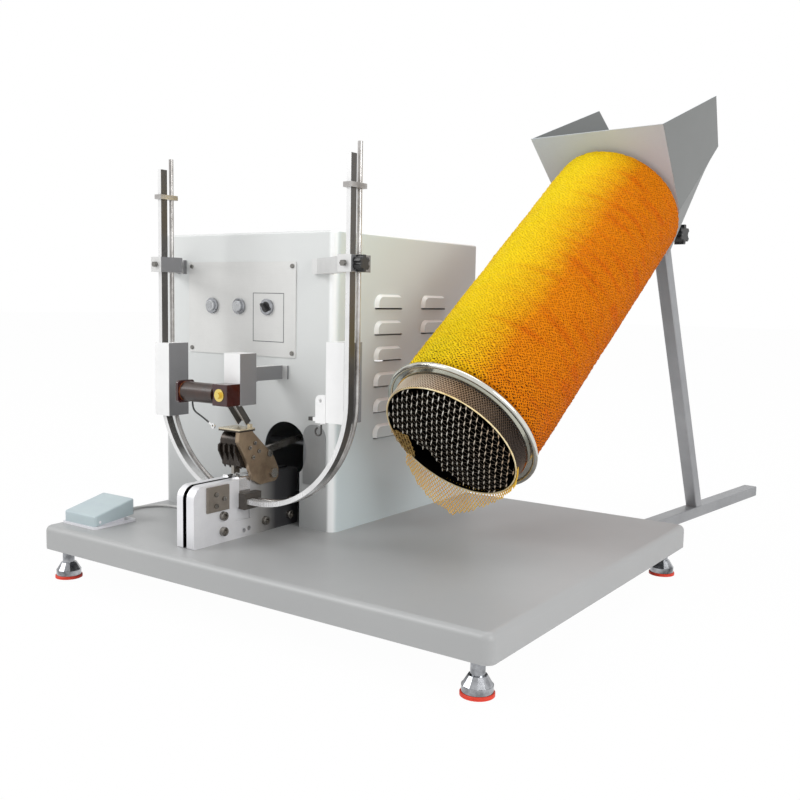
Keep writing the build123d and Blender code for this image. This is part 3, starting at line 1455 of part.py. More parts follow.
# Clip sensor on the lower left edge of the right cover
sensor_right = right_cover_x
sensor_left = sensor_right - sensor_width
sensor_back = right_cover_y + sensor_thickness
hook_x = sensor_left + sensor_width / 2
hook_y = sensor_back - sensor_thickness / 2
with BuildPart() as clip_sensor:
    with BuildSketch(front_plane(sensor_back)) as sensor_outline:
        with Locations(across(sensor_left, sensor_bottom)):
            Rectangle(sensor_width, sensor_height, align=(Align.MIN, Align.MIN))
        fillet(sensor_outline.vertices().group_by(Axis.Y)[-1].sort_by(Axis.X)[0], sensor_corner)
        with Locations(across(sensor_left + sensor_width / 2, sensor_bottom + sensor_height - sensor_corner)):
            Circle(sensor_hole_d / 2, mode=Mode.SUBTRACT)
    extrude(amount=sensor_thickness)
    with BuildSketch(front_plane(sensor_back)):
        with Locations(across(sensor_left, sensor_bottom + sensor_thickness)):
            Rectangle(sensor_tab, sensor_thickness, align=(Align.MAX, Align.CENTER))
    extrude(amount=sensor_thickness)
    with BuildSketch(level_plane(sensor_bottom)):
        with Locations(plan(hook_x, hook_y)):
            Circle(hook_wire_d / 2)
    extrude(amount=-hook_length)
    with BuildSketch(level_plane(sensor_bottom - hook_length)):
        with Locations(plan(hook_x, hook_y)):
            Circle(hook_wire_d / 2)
    revolve(axis=Axis((left + hook_x - hook_radius, front + hook_y, deck + sensor_bottom - hook_length),
                      (0, 1, 0)), revolution_arc=hook_turn)
clip_sensor.part.label = "clip_sensor"
export_step(clip_sensor.part, "parts/clip_sensor.step")

# Foot switch: base with two guard walls, pin, hollow cover and its spring
pedal_middle_x = pedal_from_left + pedal_width / 2
pedal_middle_y = pedal_from_front + pedal_depth / 2
cover_side = pedal_width - 2 * pedal_inset
guard_outer = cover_side - 2 * pedal_wall - 2 * gap
guard_left = pedal_middle_x - guard_outer / 2
pin_place = along(pedal_from_front + pedal_pin_y, pedal_pin_z)
cover_left_x = pedal_middle_x - cover_side / 2
gland_y = pedal_from_front + pedal_depth - pedal_inset
with BuildPart() as pedal_base:
    with BuildSketch(level_plane(0)):
        with Locations(plan(pedal_middle_x, pedal_middle_y)):
            RectangleRounded(pedal_width, pedal_depth, 6)
    extrude(amount=pedal_base_thickness)
    for wall_left in (guard_left, guard_left + guard_outer - pedal_wall):
        with BuildSketch(side_plane(wall_left)):
            with Locations(along(pedal_from_front + pedal_inset + pedal_guard / 2, pedal_base_thickness)):
                Rectangle(pedal_depth - 2 * pedal_guard, pedal_guard - pedal_base_thickness,
                          align=(Align.MIN, Align.MIN))
        extrude(amount=pedal_wall)
    with BuildSketch(side_plane(cover_left_x)):
        with Locations(pin_place):
            Circle(pedal_pin_d / 2)
    extrude(amount=cover_side)
    with BuildSketch(front_plane(gland_y + pedal_gland_gap)):
        with Locations(across(pedal_gland_x, pedal_base_thickness + pedal_lead_d / 2)):
            Circle(pedal_lead_d / 2 + pedal_gland_wall)
    extrude(amount=pedal_gland_gap - gland_length)
    with BuildSketch(level_plane(0)):
        with Locations(plan(pedal_middle_x, pedal_middle_y)):
            Rectangle(pedal_width, pedal_depth * 2)
    extrude(amount=-pedal_lead_d, mode=Mode.SUBTRACT)
pedal_base.part.label = "pedal_base"
export_step(pedal_base.part, "parts/pedal_base.step")

with BuildPart() as pedal_cover:
    with BuildSketch(side_plane(cover_left_x)):
        with BuildLine():
            Polyline(along(pedal_from_front + pedal_inset, pedal_base_thickness + gap),
                     along(pedal_from_front + pedal_inset, pedal_front_height),
                     along(pedal_from_front + pedal_depth - pedal_inset, pedal_rear_height),
                     along(pedal_from_front + pedal_depth - pedal_inset, pedal_base_thickness + pedal_lift),
                     close=True)
        make_face()
    extrude(amount=cover_side)
    fillet(pedal_cover.edges().filter_by(Axis.Z), 5)
    fillet(pedal_cover.faces().sort_by(Axis.Z)[-1].edges(), 3)
    offset(amount=-pedal_wall, openings=pedal_cover.faces().sort_by(Axis.Z)[0])
    with BuildSketch(side_plane(cover_left_x)):
        with Locations(pin_place):
            Circle(pedal_pin_d / 2 + running_clearance)
    extrude(amount=cover_side, mode=Mode.SUBTRACT)
pedal_cover.part.label = "pedal_cover"
export_step(pedal_cover.part, "parts/pedal_cover.step")

spring_slope = (pedal_rear_height - pedal_front_height) / (pedal_depth - 2 * pedal_inset)
spring_roof = pedal_front_height + (pedal_spring_y - pedal_inset - pedal_spring_d) * spring_slope - pedal_wall
spring_height = spring_roof - pedal_base_thickness - pedal_spring_wire - 2 * gap
spring_start = (left + pedal_middle_x, front + pedal_from_front + pedal_spring_y,
                deck + pedal_base_thickness + gap + pedal_spring_wire / 2)
with BuildPart() as pedal_spring:
    with BuildLine() as spring_line:
        Helix(spring_height / pedal_spring_turns, spring_height, pedal_spring_d / 2, center=spring_start)
    with BuildSketch(Plane(origin=spring_line.wires()[0] @ 0, z_dir=spring_line.wires()[0] % 0)):
        Circle(pedal_spring_wire / 2)
    sweep(path=spring_line.wires()[0])
pedal_spring.part.label = "pedal_spring"
export_step(pedal_spring.part, "parts/pedal_spring.step")

# Stand: T foot on the floor, hollow post that leans under the tube
base_centre = pivot + run_direction * post_run
foot_plane = Plane(origin=(base_centre.X, base_centre.Y, bar_height / 2),
                   x_dir=side_direction, z_dir=run_direction)
cross_centre = base_centre - run_direction * bar_front_reach
cross_plane = Plane(origin=(cross_centre.X, cross_centre.Y, bar_height / 2),
                    x_dir=run_direction, z_dir=side_direction)
with BuildPart() as stand_foot:
    with BuildSketch(foot_plane.offset(-bar_front_reach)):
        RectangleRounded(bar_width, bar_height, 3)
    extrude(amount=bar_front_reach + bar_rear_reach)
    with BuildSketch(cross_plane.offset(-cross_length / 2)):
        RectangleRounded(bar_width, bar_height, 3)
    extrude(amount=cross_length)
stand_foot.part.label = "stand_foot"
export_step(stand_foot.part, "parts/stand_foot.step")

post_direction = up_direction * cos(lean) - run_direction * sin(lean)
post_top = pivot + post_direction * post_above_pivot
post_plane = Plane(origin=post_top, x_dir=side_direction, z_dir=-post_direction)
post_length = (pivot_height - bar_height) / cos(lean) + post_above_pivot
bolt_plane = Plane(origin=pivot, x_dir=run_direction, z_dir=side_direction)
ear_inside = post_side / 2 + gap
ear_outside = ear_inside + ear_thickness
with BuildPart() as stand_post:
    with BuildSketch(post_plane):
        RectangleRounded(post_side, post_side, 3)
        Rectangle(post_side - 2 * post_wall, post_side - 2 * post_wall, mode=Mode.SUBTRACT)
    extrude(amount=post_length + post_side)
    split(bisect_by=Plane.XY.offset(bar_height), keep=Keep.TOP)
    with BuildSketch(post_plane):
        Rectangle(post_side - post_wall, post_side - post_wall)
    extrude(amount=post_wall)
    with BuildSketch(bolt_plane.offset(-post_side)):
        Circle(pivot_bolt_d / 2 + running_clearance)
    extrude(amount=2 * post_side, mode=Mode.SUBTRACT)
stand_post.part.label = "stand_post"
export_step(stand_post.part, "parts/stand_post.step")

# Clamp knob with the bolt that the tube tilts on, and the nut welded to the far ear
knob_start = ear_outside + gap + knob_washer
with BuildPart() as stand_knob:
    with BuildSketch(bolt_plane.offset(knob_start)):
        Circle(knob_d / 2)
        with PolarLocations(knob_d / 2, knob_lobes):
            Circle(knob_lobe_d / 2, mode=Mode.SUBTRACT)
    extrude(amount=knob_thickness)
    chamfer(stand_knob.faces().sort_by(Axis(pivot, side_direction))[-1].outer_wire().edges(), 1.5)
    with BuildSketch(bolt_plane.offset(ear_outside + gap)):
        Circle(pivot_bolt_d)
    extrude(amount=knob_washer)
    with BuildSketch(bolt_plane.offset(knob_start)):
        Circle(pivot_bolt_d / 2)
    extrude(amount=-knob_start - ear_outside - pivot_bolt_d)
stand_knob.part.label = "stand_knob"
export_step(stand_knob.part, "parts/stand_knob.step")

# Net tube with the net drawn thinly over its mouth end
tube_radius = tube_d / 2
mouth_plane = tube_plane.offset(-tube_below_ring)
with BuildPart() as net_tube:
    with BuildSketch(mouth_plane):
        Circle(tube_radius)
        Circle(tube_radius - tube_wall, mode=Mode.SUBTRACT)
    extrude(amount=tube_below_ring + hopper_start + hopper_sheet)
net_tube.part.label = "net_tube"
export_step(net_tube.part, "parts/net_tube.step")

# Mouth ring: collar, web and rolled rim turned in one
collar_inner = tube_radius + thin_net + gap
ring_radius = ring_outer_d / 2 - ring_bead_d / 2
ring_axis = Axis(ring_centre, tube_direction)
half_plane = Plane(origin=ring_centre, x_dir=side_direction, z_dir=tube_up)
with BuildPart() as mouth_ring:
    with BuildSketch(half_plane):
        with Locations((collar_inner, 0)):
            Rectangle(ring_sheet, ring_height, align=(Align.MIN, Align.MIN))
        with Locations((collar_inner, ring_bead_d / 2)):
            Rectangle(ring_radius - collar_inner, ring_sheet, align=(Align.MIN, Align.CENTER))
        with Locations((ring_radius, ring_bead_d / 2)):
            Circle(ring_bead_d / 2)
    revolve(axis=ring_axis)
mouth_ring.part.label = "mouth_ring"
export_step(mouth_ring.part, "parts/mouth_ring.step")

# Net tail: hangs down from the lower half of the mouth
mouth_centre = ring_centre - tube_direction * tube_below_ring
tail_top = mouth_centre.Z
tail_bottom = deck + tail_above_deck
tail_plane = Plane(origin=(mouth_centre.X, mouth_centre.Y, tail_bottom), x_dir=side_direction, z_dir=(0, 0, 1))
tail_face = Plane(origin=(mouth_centre.X, mouth_centre.Y, tail_bottom), x_dir=side_direction,
                  z_dir=-run_direction)
tail_reach = tube_radius + thin_net + running_clearance
tail_sag = tail_reach * sin(rise)
with BuildPart() as hanging_net:
    with BuildSketch(tail_plane):
        Ellipse(tail_reach + tail_thickness, tail_sag + tail_thickness)
        Ellipse(tail_reach, tail_sag, mode=Mode.SUBTRACT)
        Rectangle(3 * tube_radius, tube_radius, align=(Align.CENTER, Align.MIN), mode=Mode.INTERSECT)
    extrude(amount=tail_top - tail_bottom)
    with BuildSketch(tail_face.offset(-2 * tube_radius)):
        with BuildLine():
            Polyline((-tail_left, tail_top - tail_bottom), (-tail_left, tail_left_drop),
                     (-tail_bend, tail_bend_drop), (0, 0), (tail_right, tail_right_drop),
                     (tail_right, tail_top - tail_bottom), close=True)
        make_face()
    extrude(amount=4 * tube_radius, mode=Mode.INTERSECT)
    with BuildSketch(mouth_plane):
        Circle(tail_reach + gap)
    extrude(amount=tube_radius * 2, mode=Mode.SUBTRACT)
    with BuildSketch(mouth_plane):
        Circle(tail_reach + gap)
    extrude(amount=-tube_radius * 2, mode=Mode.SUBTRACT)

# Net: thin layer under the ring, gathered sleeve above it
net_inner = tube_radius + running_clearance
with BuildPart() as net_sleeve:
    with BuildSketch(half_plane) as sleeve_outline:
        with Locations((net_inner, sleeve_start)):
            Rectangle(sleeve_thickness, sleeve_end - sleeve_start, align=(Align.MIN, Align.MIN))
        fillet(sleeve_outline.vertices().group_by(Axis.X)[-1], sleeve_round)
        with Locations((net_inner, gap - tube_below_ring)):
            Rectangle(thin_net, sleeve_start + tube_below_ring, align=(Align.MIN, Align.MIN))
    revolve(axis=ring_axis)
    add(hanging_net.part)
net_sleeve.part.label = "net_sleeve"
export_step(net_sleeve.part, "parts/net_sleeve.step")

# Hopper: folded sheet tray, open above and at its far end, with the tube let into its front plate
hopper_end = hopper_start + hopper_length


def hopper_section(along_tube, inset, top, waist, floor):
    """Cross-section of the hopper; each level is (half width, height above the tube's axis)."""
    with BuildSketch(tube_plane.offset(along_tube)) as section:
        with BuildLine():
            Polyline((top[0] - inset, top[1]), (waist[0] - inset, waist[1]),
                     (floor[0] - inset, floor[1] + inset), (inset - floor[0], floor[1] + inset),
                     (inset - waist[0], waist[1]), (inset - top[0], top[1]), close=True)
        make_face()
    return section.sketch


front_top = (hopper_front_top_half, hopper_front_top)
front_waist = (hopper_front_waist_half, hopper_front_waist)
front_floor = (hopper_front_floor_half, hopper_front_floor)
rear_top = (hopper_rear_top_half, hopper_rear_top)
rear_waist = (hopper_rear_waist_half, hopper_rear_waist)
rear_floor = (hopper_rear_floor_half, hopper_rear_floor)
hopper_front_outside = hopper_section(hopper_start, 0, front_top, front_waist, front_floor)
hopper_rear_outside = hopper_section(hopper_end, 0, rear_top, rear_waist, rear_floor)
hopper_front_inside = hopper_section(hopper_start, hopper_sheet, front_top, front_waist, front_floor)
hopper_rear_inside = hopper_section(hopper_end, hopper_sheet, rear_top, rear_waist, rear_floor)
# Two ears under the hopper floor take the post between them; a nut is welded to the far one
floor_slope = (hopper_rear_floor - hopper_front_floor) / hopper_length
ear_root_start = pivot_up_tube - ear_root_length / 2
ear_root_end = pivot_up_tube + ear_root_length / 2
ear_root = ((ear_root_start, hopper_front_floor + (ear_root_start - hopper_start) * floor_slope),
            (ear_root_end, hopper_front_floor + (ear_root_end - hopper_start) * floor_slope))
ear_plane = Plane(origin=ring_centre, x_dir=tube_direction, z_dir=side_direction)
ear_pivot = (pivot_up_tube, -pivot_drop)
with BuildPart() as hopper:
    loft(sections=[hopper_front_outside, hopper_rear_outside], ruled=True)
    loft(sections=[hopper_front_inside, hopper_rear_inside], ruled=True, mode=Mode.SUBTRACT)
    extrude(hopper_front_outside, amount=hopper_sheet)
    with BuildSketch(tube_plane.offset(hopper_start)):
        Circle(tube_radius + running_clearance)
    extrude(amount=hopper_sheet, mode=Mode.SUBTRACT)
    for ear_start in (ear_inside, -ear_outside):
        with BuildSketch(ear_plane.offset(ear_start)):
            with BuildLine():
                Polyline(ear_root[0], ear_root[1], ear_pivot, close=True)
            make_face()
            with Locations(ear_pivot):
                Circle(ear_radius)
            make_hull()
            with Locations(ear_pivot):
                Circle(pivot_bolt_d / 2 + running_clearance, mode=Mode.SUBTRACT)
        extrude(amount=ear_thickness)
    with BuildSketch(ear_plane.offset(-ear_outside)):
        with Locations(ear_pivot):
            RegularPolygon(pivot_bolt_d, 6)
            Circle(pivot_bolt_d / 2 + running_clearance, mode=Mode.SUBTRACT)
    extrude(amount=-pivot_bolt_d)
hopper.part.label = "hopper"
export_step(hopper.part, "parts/hopper.step")

# Lead of the foot switch: from the gland on its base to the gland in the cabinet front
with BuildPart() as cabinet_gland:
    with BuildSketch(front_plane(cabinet_from_front + cabinet_sheet)):
        with Locations(across(gland_from_left, gland_above_deck)):
            Circle(gland_d / 2)
    extrude(amount=cabinet_sheet + gland_length)
    with BuildSketch(front_plane(cabinet_from_front)):
        with Locations(across(gland_from_left, gland_above_deck)):
            RegularPolygon(gland_d / 2 + 1.5, 6, major_radius=False)
    extrude(amount=gland_length / 3)
    chamfer(cabinet_gland.edges().group_by(Axis.Y)[0], 2)
cabinet_gland.part.label = "cabinet_gland"
export_step(cabinet_gland.part, "parts/cabinet_gland.step")

pedal_exit = pedal_from_front + pedal_depth - pedal_inset + gland_length
pedal_lead_z = pedal_base_thickness + pedal_lead_d / 2
gland_face = cabinet_from_front - gland_length
pedal_route = [
    (left + pedal_gland_x, front + pedal_exit, deck + pedal_lead_z),
    (left + 33, front + 160, deck + 4.5),
    (left + 25, front + 186, deck + 2.8),
    (left + 33, front + 214, deck + 2.7),
    (left + 56, front + 234, deck + 2.7),
    (left + 84, front + 238, deck + 2.8),
    (left + 110, front + 228, deck + 4.5),
    (left + 132, front + 226, deck + 9),
    (left + 149, front + 241, deck + 13.5),
    (left + gland_from_left, front + gland_face, deck + gland_above_deck),
]
pedal_corners, pedal_radii = lead_route(pedal_route, pedal_lead_d)
with BuildPart() as pedal_lead:
    with BuildLine() as pedal_path:
        FilletPolyline(*pedal_corners, radius=pedal_radii)
    with BuildSketch(Plane(origin=pedal_path.wires()[0] @ 0, z_dir=pedal_path.wires()[0] % 0)):
        Circle(pedal_lead_d / 2)
    sweep(path=pedal_path.wires()[0])
pedal_lead.part.label = "pedal_lead"
export_step(pedal_lead.part, "parts/pedal_lead.step")
pedal_lead_length = pedal_path.wires()[0].length
print("pedal lead length", round(pedal_lead_length, 1), "volume over section",
      round(pedal_lead.part.volume / (pi * pedal_lead_d ** 2 / 4), 1))

# Lead of the solenoid: out of the coil's underside, with a ring terminal on its free end
coil_lead_x = coil_block_left - coil_lead_from_block
coil_lead_z = coil_axis_z - coil_d / 2
coil_route = [
    (left + coil_lead_x, front + coil_axis_y, deck + coil_lead_z),
    (left + coil_lead_x + 1.5, front + coil_axis_y - 1, deck + coil_lead_z - 9),
    (left + coil_lead_x + 9, front + coil_axis_y - 3, deck + coil_lead_z - 16),
    (left + coil_lead_x + 21, front + coil_axis_y - 5, deck + coil_lead_z - 20),
    (left + coil_lead_x + 35, front + coil_axis_y - 7, deck + coil_lead_z - 25),
    (left + coil_lead_x + 48, front + coil_axis_y - 8, deck + coil_lead_z - 31),
]
coil_corners, coil_radii = lead_route(coil_route, coil_lead_d)
with BuildPart() as coil_lead:
    with BuildLine() as coil_path:
        FilletPolyline(*coil_corners, radius=coil_radii)
    with BuildSketch(Plane(origin=coil_path.wires()[0] @ 0, z_dir=coil_path.wires()[0] % 0)):
        Circle(coil_lead_d / 2)
    sweep(path=coil_path.wires()[0])
coil_lead.part.label = "coil_lead"
export_step(coil_lead.part, "parts/coil_lead.step")
print("coil lead length", round(coil_path.wires()[0].length, 1), "volume over section",
      round(coil_lead.part.volume / (pi * coil_lead_d ** 2 / 4), 1))

terminal_end = coil_corners[-1]
terminal_along = (coil_corners[-1] - coil_corners[-2]).normalized()
terminal_plane = Plane(origin=terminal_end, x_dir=terminal_along, z_dir=terminal_along.cross(Vector(0, 0, 1)))
with BuildPart() as ring_terminal:
    with BuildSketch(terminal_plane.offset(-terminal_thickness / 2)):
        Rectangle(terminal_ring_d, coil_lead_d, align=(Align.MIN, Align.CENTER))
        with Locations((terminal_ring_d * 1.3, 0)):
            Circle(terminal_ring_d / 2)
            Circle(terminal_ring_d / 4, mode=Mode.SUBTRACT)
    extrude(amount=terminal_thickness)
ring_terminal.part.label = "ring_terminal"
export_step(ring_terminal.part, "parts/ring_terminal.step")
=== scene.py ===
# %% [markdown]
# # Mesh bag clipping machine
#
# A sheet-steel platform on four levelling feet carries a cabinet, two curved clip rails and a punch head
# over a slotted die block. Beside it a slanted tube on a floor stand carries a gathered net and a hopper.
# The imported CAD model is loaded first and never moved: Blender adds finishes, the net and the leads.

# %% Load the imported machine
from math import cos, pi, radians, sin, sqrt

import bpy
from mathutils import Matrix, Vector, noise


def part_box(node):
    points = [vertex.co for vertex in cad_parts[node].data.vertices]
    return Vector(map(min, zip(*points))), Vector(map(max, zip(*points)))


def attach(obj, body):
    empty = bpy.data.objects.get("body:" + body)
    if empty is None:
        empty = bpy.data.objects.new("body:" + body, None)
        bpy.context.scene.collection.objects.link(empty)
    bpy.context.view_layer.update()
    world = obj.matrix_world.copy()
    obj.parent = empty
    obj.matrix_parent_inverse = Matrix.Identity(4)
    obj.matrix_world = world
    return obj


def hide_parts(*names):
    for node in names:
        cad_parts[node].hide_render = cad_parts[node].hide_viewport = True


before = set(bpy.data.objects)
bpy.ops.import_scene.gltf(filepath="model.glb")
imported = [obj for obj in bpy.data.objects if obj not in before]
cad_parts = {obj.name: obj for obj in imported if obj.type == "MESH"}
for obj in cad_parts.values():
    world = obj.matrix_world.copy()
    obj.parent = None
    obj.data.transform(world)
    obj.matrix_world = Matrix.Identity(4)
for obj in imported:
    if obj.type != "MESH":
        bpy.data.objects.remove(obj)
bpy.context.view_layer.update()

# %% [markdown]
# ## Where things are
#
# The drawing of the machine counts millimetres from the platform's front left corner and from its deck.
# One helper turns such a place into metres in the shared frame, so numbers read like the workshop's own.

# %% Machine coordinates
MM = 0.001
PLATFORM_LEFT = -0.450
PLATFORM_FRONT = -0.790776
DECK = 0.093


def spot(x, y, z):
    """A point given in millimetres from the platform's left end, its front edge and its deck."""
    return Vector((PLATFORM_LEFT + x * MM, PLATFORM_FRONT + y * MM, DECK + z * MM))


print("platform's front left corner", spot(0, 0, 0))

# %% [markdown]
# The net tube leans back by 39.2 degrees and is turned by 6.7 degrees. Its own three directions are along
# the tube, across it and up from it. Everything of the net is placed in them, counted from the steel ring.

# %% The tube's own directions
TUBE_TURN = radians(6.7)
TUBE_RISE = radians(39.2)
tube_run = Vector((sin(TUBE_TURN), cos(TUBE_TURN), 0))
tube_side = Vector((cos(TUBE_TURN), -sin(TUBE_TURN), 0))
tube_along = tube_run * cos(TUBE_RISE) + Vector((0, 0, sin(TUBE_RISE)))
tube_up = Vector((0, 0, cos(TUBE_RISE))) - tube_run * sin(TUBE_RISE)
TUBE_PIVOT = spot(731.3, 997.4, 551.2)
RING_BELOW_PIVOT = 748 * MM
RING_ABOVE_PIVOT = 155 * MM
ring_middle = TUBE_PIVOT - tube_along * RING_BELOW_PIVOT + tube_up * RING_ABOVE_PIVOT


def on_tube(along, radius, angle):
    """A point round the tube: millimetres along it from the ring, radius, and angle from its side."""
    return (ring_middle + tube_along * (along * MM) + tube_side * (radius * MM * cos(angle))
            + tube_up * (radius * MM * sin(angle)))


print("ring", ring_middle)

# %% [markdown]
# ## Camera
#
# The camera stands in front of the right-hand corner, a little above the deck, as the photographer did.
# Its place and angles were found from the corners of the platform and of the cabinet, and the lens from
# how fast they shrink to the back. It is rolled by about one degree, so that the lines lie as they should.

# %% Place the camera
CAMERA_TURN = radians(34.64)
CAMERA_RISE = radians(6.09)
CAMERA_ROLL = radians(-1.08)
PHOTO_SIDE = 800
FOCAL_PIXELS = 949
SENSOR_WIDTH = 36
CAMERA_NEAR = 0.05
CAMERA_PLACE = spot(1442, -990, 407)
camera_back = Vector((sin(CAMERA_TURN) * cos(CAMERA_RISE), -cos(CAMERA_TURN) * cos(CAMERA_RISE),
                      sin(CAMERA_RISE)))
level_right = Vector((cos(CAMERA_TURN), sin(CAMERA_TURN), 0))
level_up = camera_back.cross(level_right)
camera_right = level_right * cos(CAMERA_ROLL) - level_up * sin(CAMERA_ROLL)
camera_up = level_up * cos(CAMERA_ROLL) + level_right * sin(CAMERA_ROLL)
camera_data = bpy.data.cameras.new("operator view")
camera_data.sensor_fit = "HORIZONTAL"
camera_data.sensor_width = SENSOR_WIDTH
camera_data.lens = FOCAL_PIXELS / PHOTO_SIDE * SENSOR_WIDTH
camera_data.clip_start = CAMERA_NEAR
camera = bpy.data.objects.new("operator view", camera_data)
bpy.context.scene.collection.objects.link(camera)
camera_axes = Matrix((camera_right, camera_up, camera_back)).transposed().to_4x4()
camera.matrix_world = Matrix.Translation(CAMERA_PLACE) @ camera_axes
bpy.context.scene.camera = camera
print("lens", round(camera_data.lens, 2), "mm")

# %% [markdown]
# ## Helpers for nodes
#
# Colours are written as a screen shows them and turned into the linear values that light uses. Three small
# helpers add a node, link two sockets and work out a number, so that each finish below reads as a recipe.
# Nodes could be added by hand in the editor too, but then nobody could see in the file how a finish is made.

# %% Node helpers


def screen(red, green, blue):
    """A colour as a screen shows it, 0 to 255, turned into the linear values that light uses."""
    def linear(value):
        share = value / 255
        return share / 12.92 if share <= 0.04045 else ((share + 0.055) / 1.055) ** 2.4
    return (linear(red), linear(green), linear(blue), 1)


def add_node(tree, kind, values=None, **settings):
    """A node with its properties and socket values set."""
    node = tree.nodes.new("ShaderNode" + kind)
    for key, value in settings.items():
        setattr(node, key, value)
    for key, value in (values or {}).items():
        node.inputs[key].default_value = value
    return node


def join(tree, source, target):
    """A link between two sockets."""
    tree.links.new(source, target)


def maths(tree, operation, first, second=0.5, third=0.5):
    """A Math node; each operand is a socket or a number."""
    node = add_node(tree, "Math", operation=operation)
    for index, value in enumerate((first, second, third)):
        if hasattr(value, "is_output"):
            join(tree, value, node.inputs[index])
        else:
            node.inputs[index].default_value = value
    return node.outputs[0]


print("middle grey of a screen in linear light", round(screen(128, 128, 128)[0], 3))

# %% [markdown]
# ## Floor, sky and lamps
#
# A machine like this is photographed in a white studio: one large soft lamp from the upper left, a weaker
# one from the right, and white all around for the steel to reflect. The floor is a wide pale plane. The
# camera and the reflections see it white, while the machine's own soft shadow stays on it. More light could
# whiten the floor as well, but it would bleach the machine too, so the white is mixed in for those rays only.

# %% Floor
FLOOR_HALF = 20
FLOOR_PALE = (0.93, 0.93, 0.93, 1)
FLOOR_WHITE_SHARE = 0.98


def mesh_piece(name, points, faces, smooth=False):
    """A mesh object made from plain lists of points and faces."""
    mesh = bpy.data.meshes.new(name)
    mesh.from_pydata([tuple(p) for p in points], [], faces)
    mesh.update()
    if smooth:
        mesh.shade_smooth()
    piece = bpy.data.objects.new(name, mesh)
    bpy.context.scene.collection.objects.link(piece)
    return piece


floor_corners = [(x * FLOOR_HALF, y * FLOOR_HALF, 0) for x, y in ((-1, -1), (1, -1), (1, 1), (-1, 1))]
floor = mesh_piece("studio floor", floor_corners, [(0, 1, 2, 3)])
floor_paint = bpy.data.materials.new("studio floor white")
floor_paint.use_nodes = True
floor_tree = floor_paint.node_tree
floor_tree.nodes.clear()
floor_out = add_node(floor_tree, "OutputMaterial")
floor_mix = add_node(floor_tree, "MixShader")
floor_diffuse = add_node(floor_tree, "BsdfDiffuse", {"Color": FLOOR_PALE})
floor_glow = add_node(floor_tree, "Emission")
floor_path = add_node(floor_tree, "LightPath")
floor_seen = maths(floor_tree, "MAXIMUM", floor_path.outputs["Is Camera Ray"],
                   floor_path.outputs["Is Glossy Ray"])
join(floor_tree, maths(floor_tree, "MULTIPLY", floor_seen, FLOOR_WHITE_SHARE), floor_mix.inputs["Fac"])
join(floor_tree, floor_diffuse.outputs[0], floor_mix.inputs[1])
join(floor_tree, floor_glow.outputs[0], floor_mix.inputs[2])
join(floor_tree, floor_mix.outputs[0], floor_out.inputs["Surface"])
floor.data.materials.append(floor_paint)
print("floor", 2 * FLOOR_HALF, "m wide")

# %% [markdown]
# The sky is white for the camera and for reflections and about half as bright for everything else, so
# that pale paint stays below pure white. Three area lamps give the soft shadows and the bright edges.

# %% Sky and lamps
SKY_ON_MACHINE = 0.52
world = bpy.data.worlds.new("white studio")
bpy.context.scene.world = world
world.use_nodes = True
sky_tree = world.node_tree
sky_light = sky_tree.nodes["Background"]
sky_light.inputs["Color"].default_value = (1, 1, 1, 1)
sky_path = add_node(sky_tree, "LightPath")
sky_seen = maths(sky_tree, "MAXIMUM", sky_path.outputs["Is Camera Ray"], sky_path.outputs["Is Glossy Ray"])
sky_seen = maths(sky_tree, "MAXIMUM", sky_seen, sky_path.outputs["Is Transmission Ray"])
sky_range = add_node(sky_tree, "MapRange", {"To Min": SKY_ON_MACHINE, "To Max": 1})
join(sky_tree, sky_seen, sky_range.inputs["Value"])
join(sky_tree, sky_range.outputs[0], sky_light.inputs["Strength"])


def soft_lamp(name, place, aim, size, watts):
    """A square area lamp that looks from its place at a point of the machine."""
    data = bpy.data.lights.new(name, "AREA")
    data.size = size
    data.energy = watts
    lamp = bpy.data.objects.new(name, data)
    bpy.context.scene.collection.objects.link(lamp)
    lamp.location = place
    lamp.rotation_euler = (Vector(aim) - Vector(place)).to_track_quat("-Z", "Y").to_euler()


soft_lamp("key lamp", place=(-2.6, -3.4, 3.0), aim=(0, -0.2, 0.4), size=2.4, watts=95)
soft_lamp("right lamp", place=(3.6, -1.2, 1.6), aim=(0, 0, 0.5), size=1.8, watts=58)
soft_lamp("top lamp", place=(0.2, 0.2, 3.6), aim=(0, 0, 0.3), size=2.2, watts=30)
bpy.context.scene.view_settings.view_transform = "Standard"

# %% [markdown]
# ## Leads
#
# Two thin leads show. The foot switch has a grey lead that curls on the deck behind it and rises to the
# gland in the cabinet's front. A short black one hangs from the solenoid to its ring terminal. Each is one
# smooth NURBS curve through a few control points: a curve bends evenly, as a real lead does, where straight
# runs with rounded corners look like bent wire.

# %% Lead curves
PEDAL_LEAD_D = 5
COIL_LEAD_D = 3
LEAD_ROUNDNESS = 5
LEAD_SMOOTHNESS = 12


def lead_curve(name, route, diameter):
    """A round lead along control points in machine millimetres; each point carries the radius."""
    data = bpy.data.curves.new(name, "CURVE")
    data.dimensions = "3D"
    data.bevel_depth = 1
    data.bevel_resolution = LEAD_ROUNDNESS
    data.resolution_u = LEAD_SMOOTHNESS
    data.use_fill_caps = True
    spline = data.splines.new("NURBS")
    spline.points.add(len(route) - 1)
    for point, place in zip(spline.points, route):
        point.co = (*spot(*place), 1)
        point.radius = diameter * MM / 2
    spline.order_u = 3
    spline.use_endpoint_u = True
    piece = bpy.data.objects.new(name, data)
    bpy.context.scene.collection.objects.link(piece)
    return piece


pedal_route = [(36, 133, 6.5), (33, 160, 4.5), (25, 186, 2.8), (33, 214, 2.7), (56, 234, 2.7),
               (84, 238, 2.8), (110, 228, 4.5), (132, 226, 9), (149, 241, 13.5), (150, 260, 14)]
pedal_lead = lead_curve("foot_switch_lead", pedal_route, PEDAL_LEAD_D)
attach(pedal_lead, "root")
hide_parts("pedal_lead")

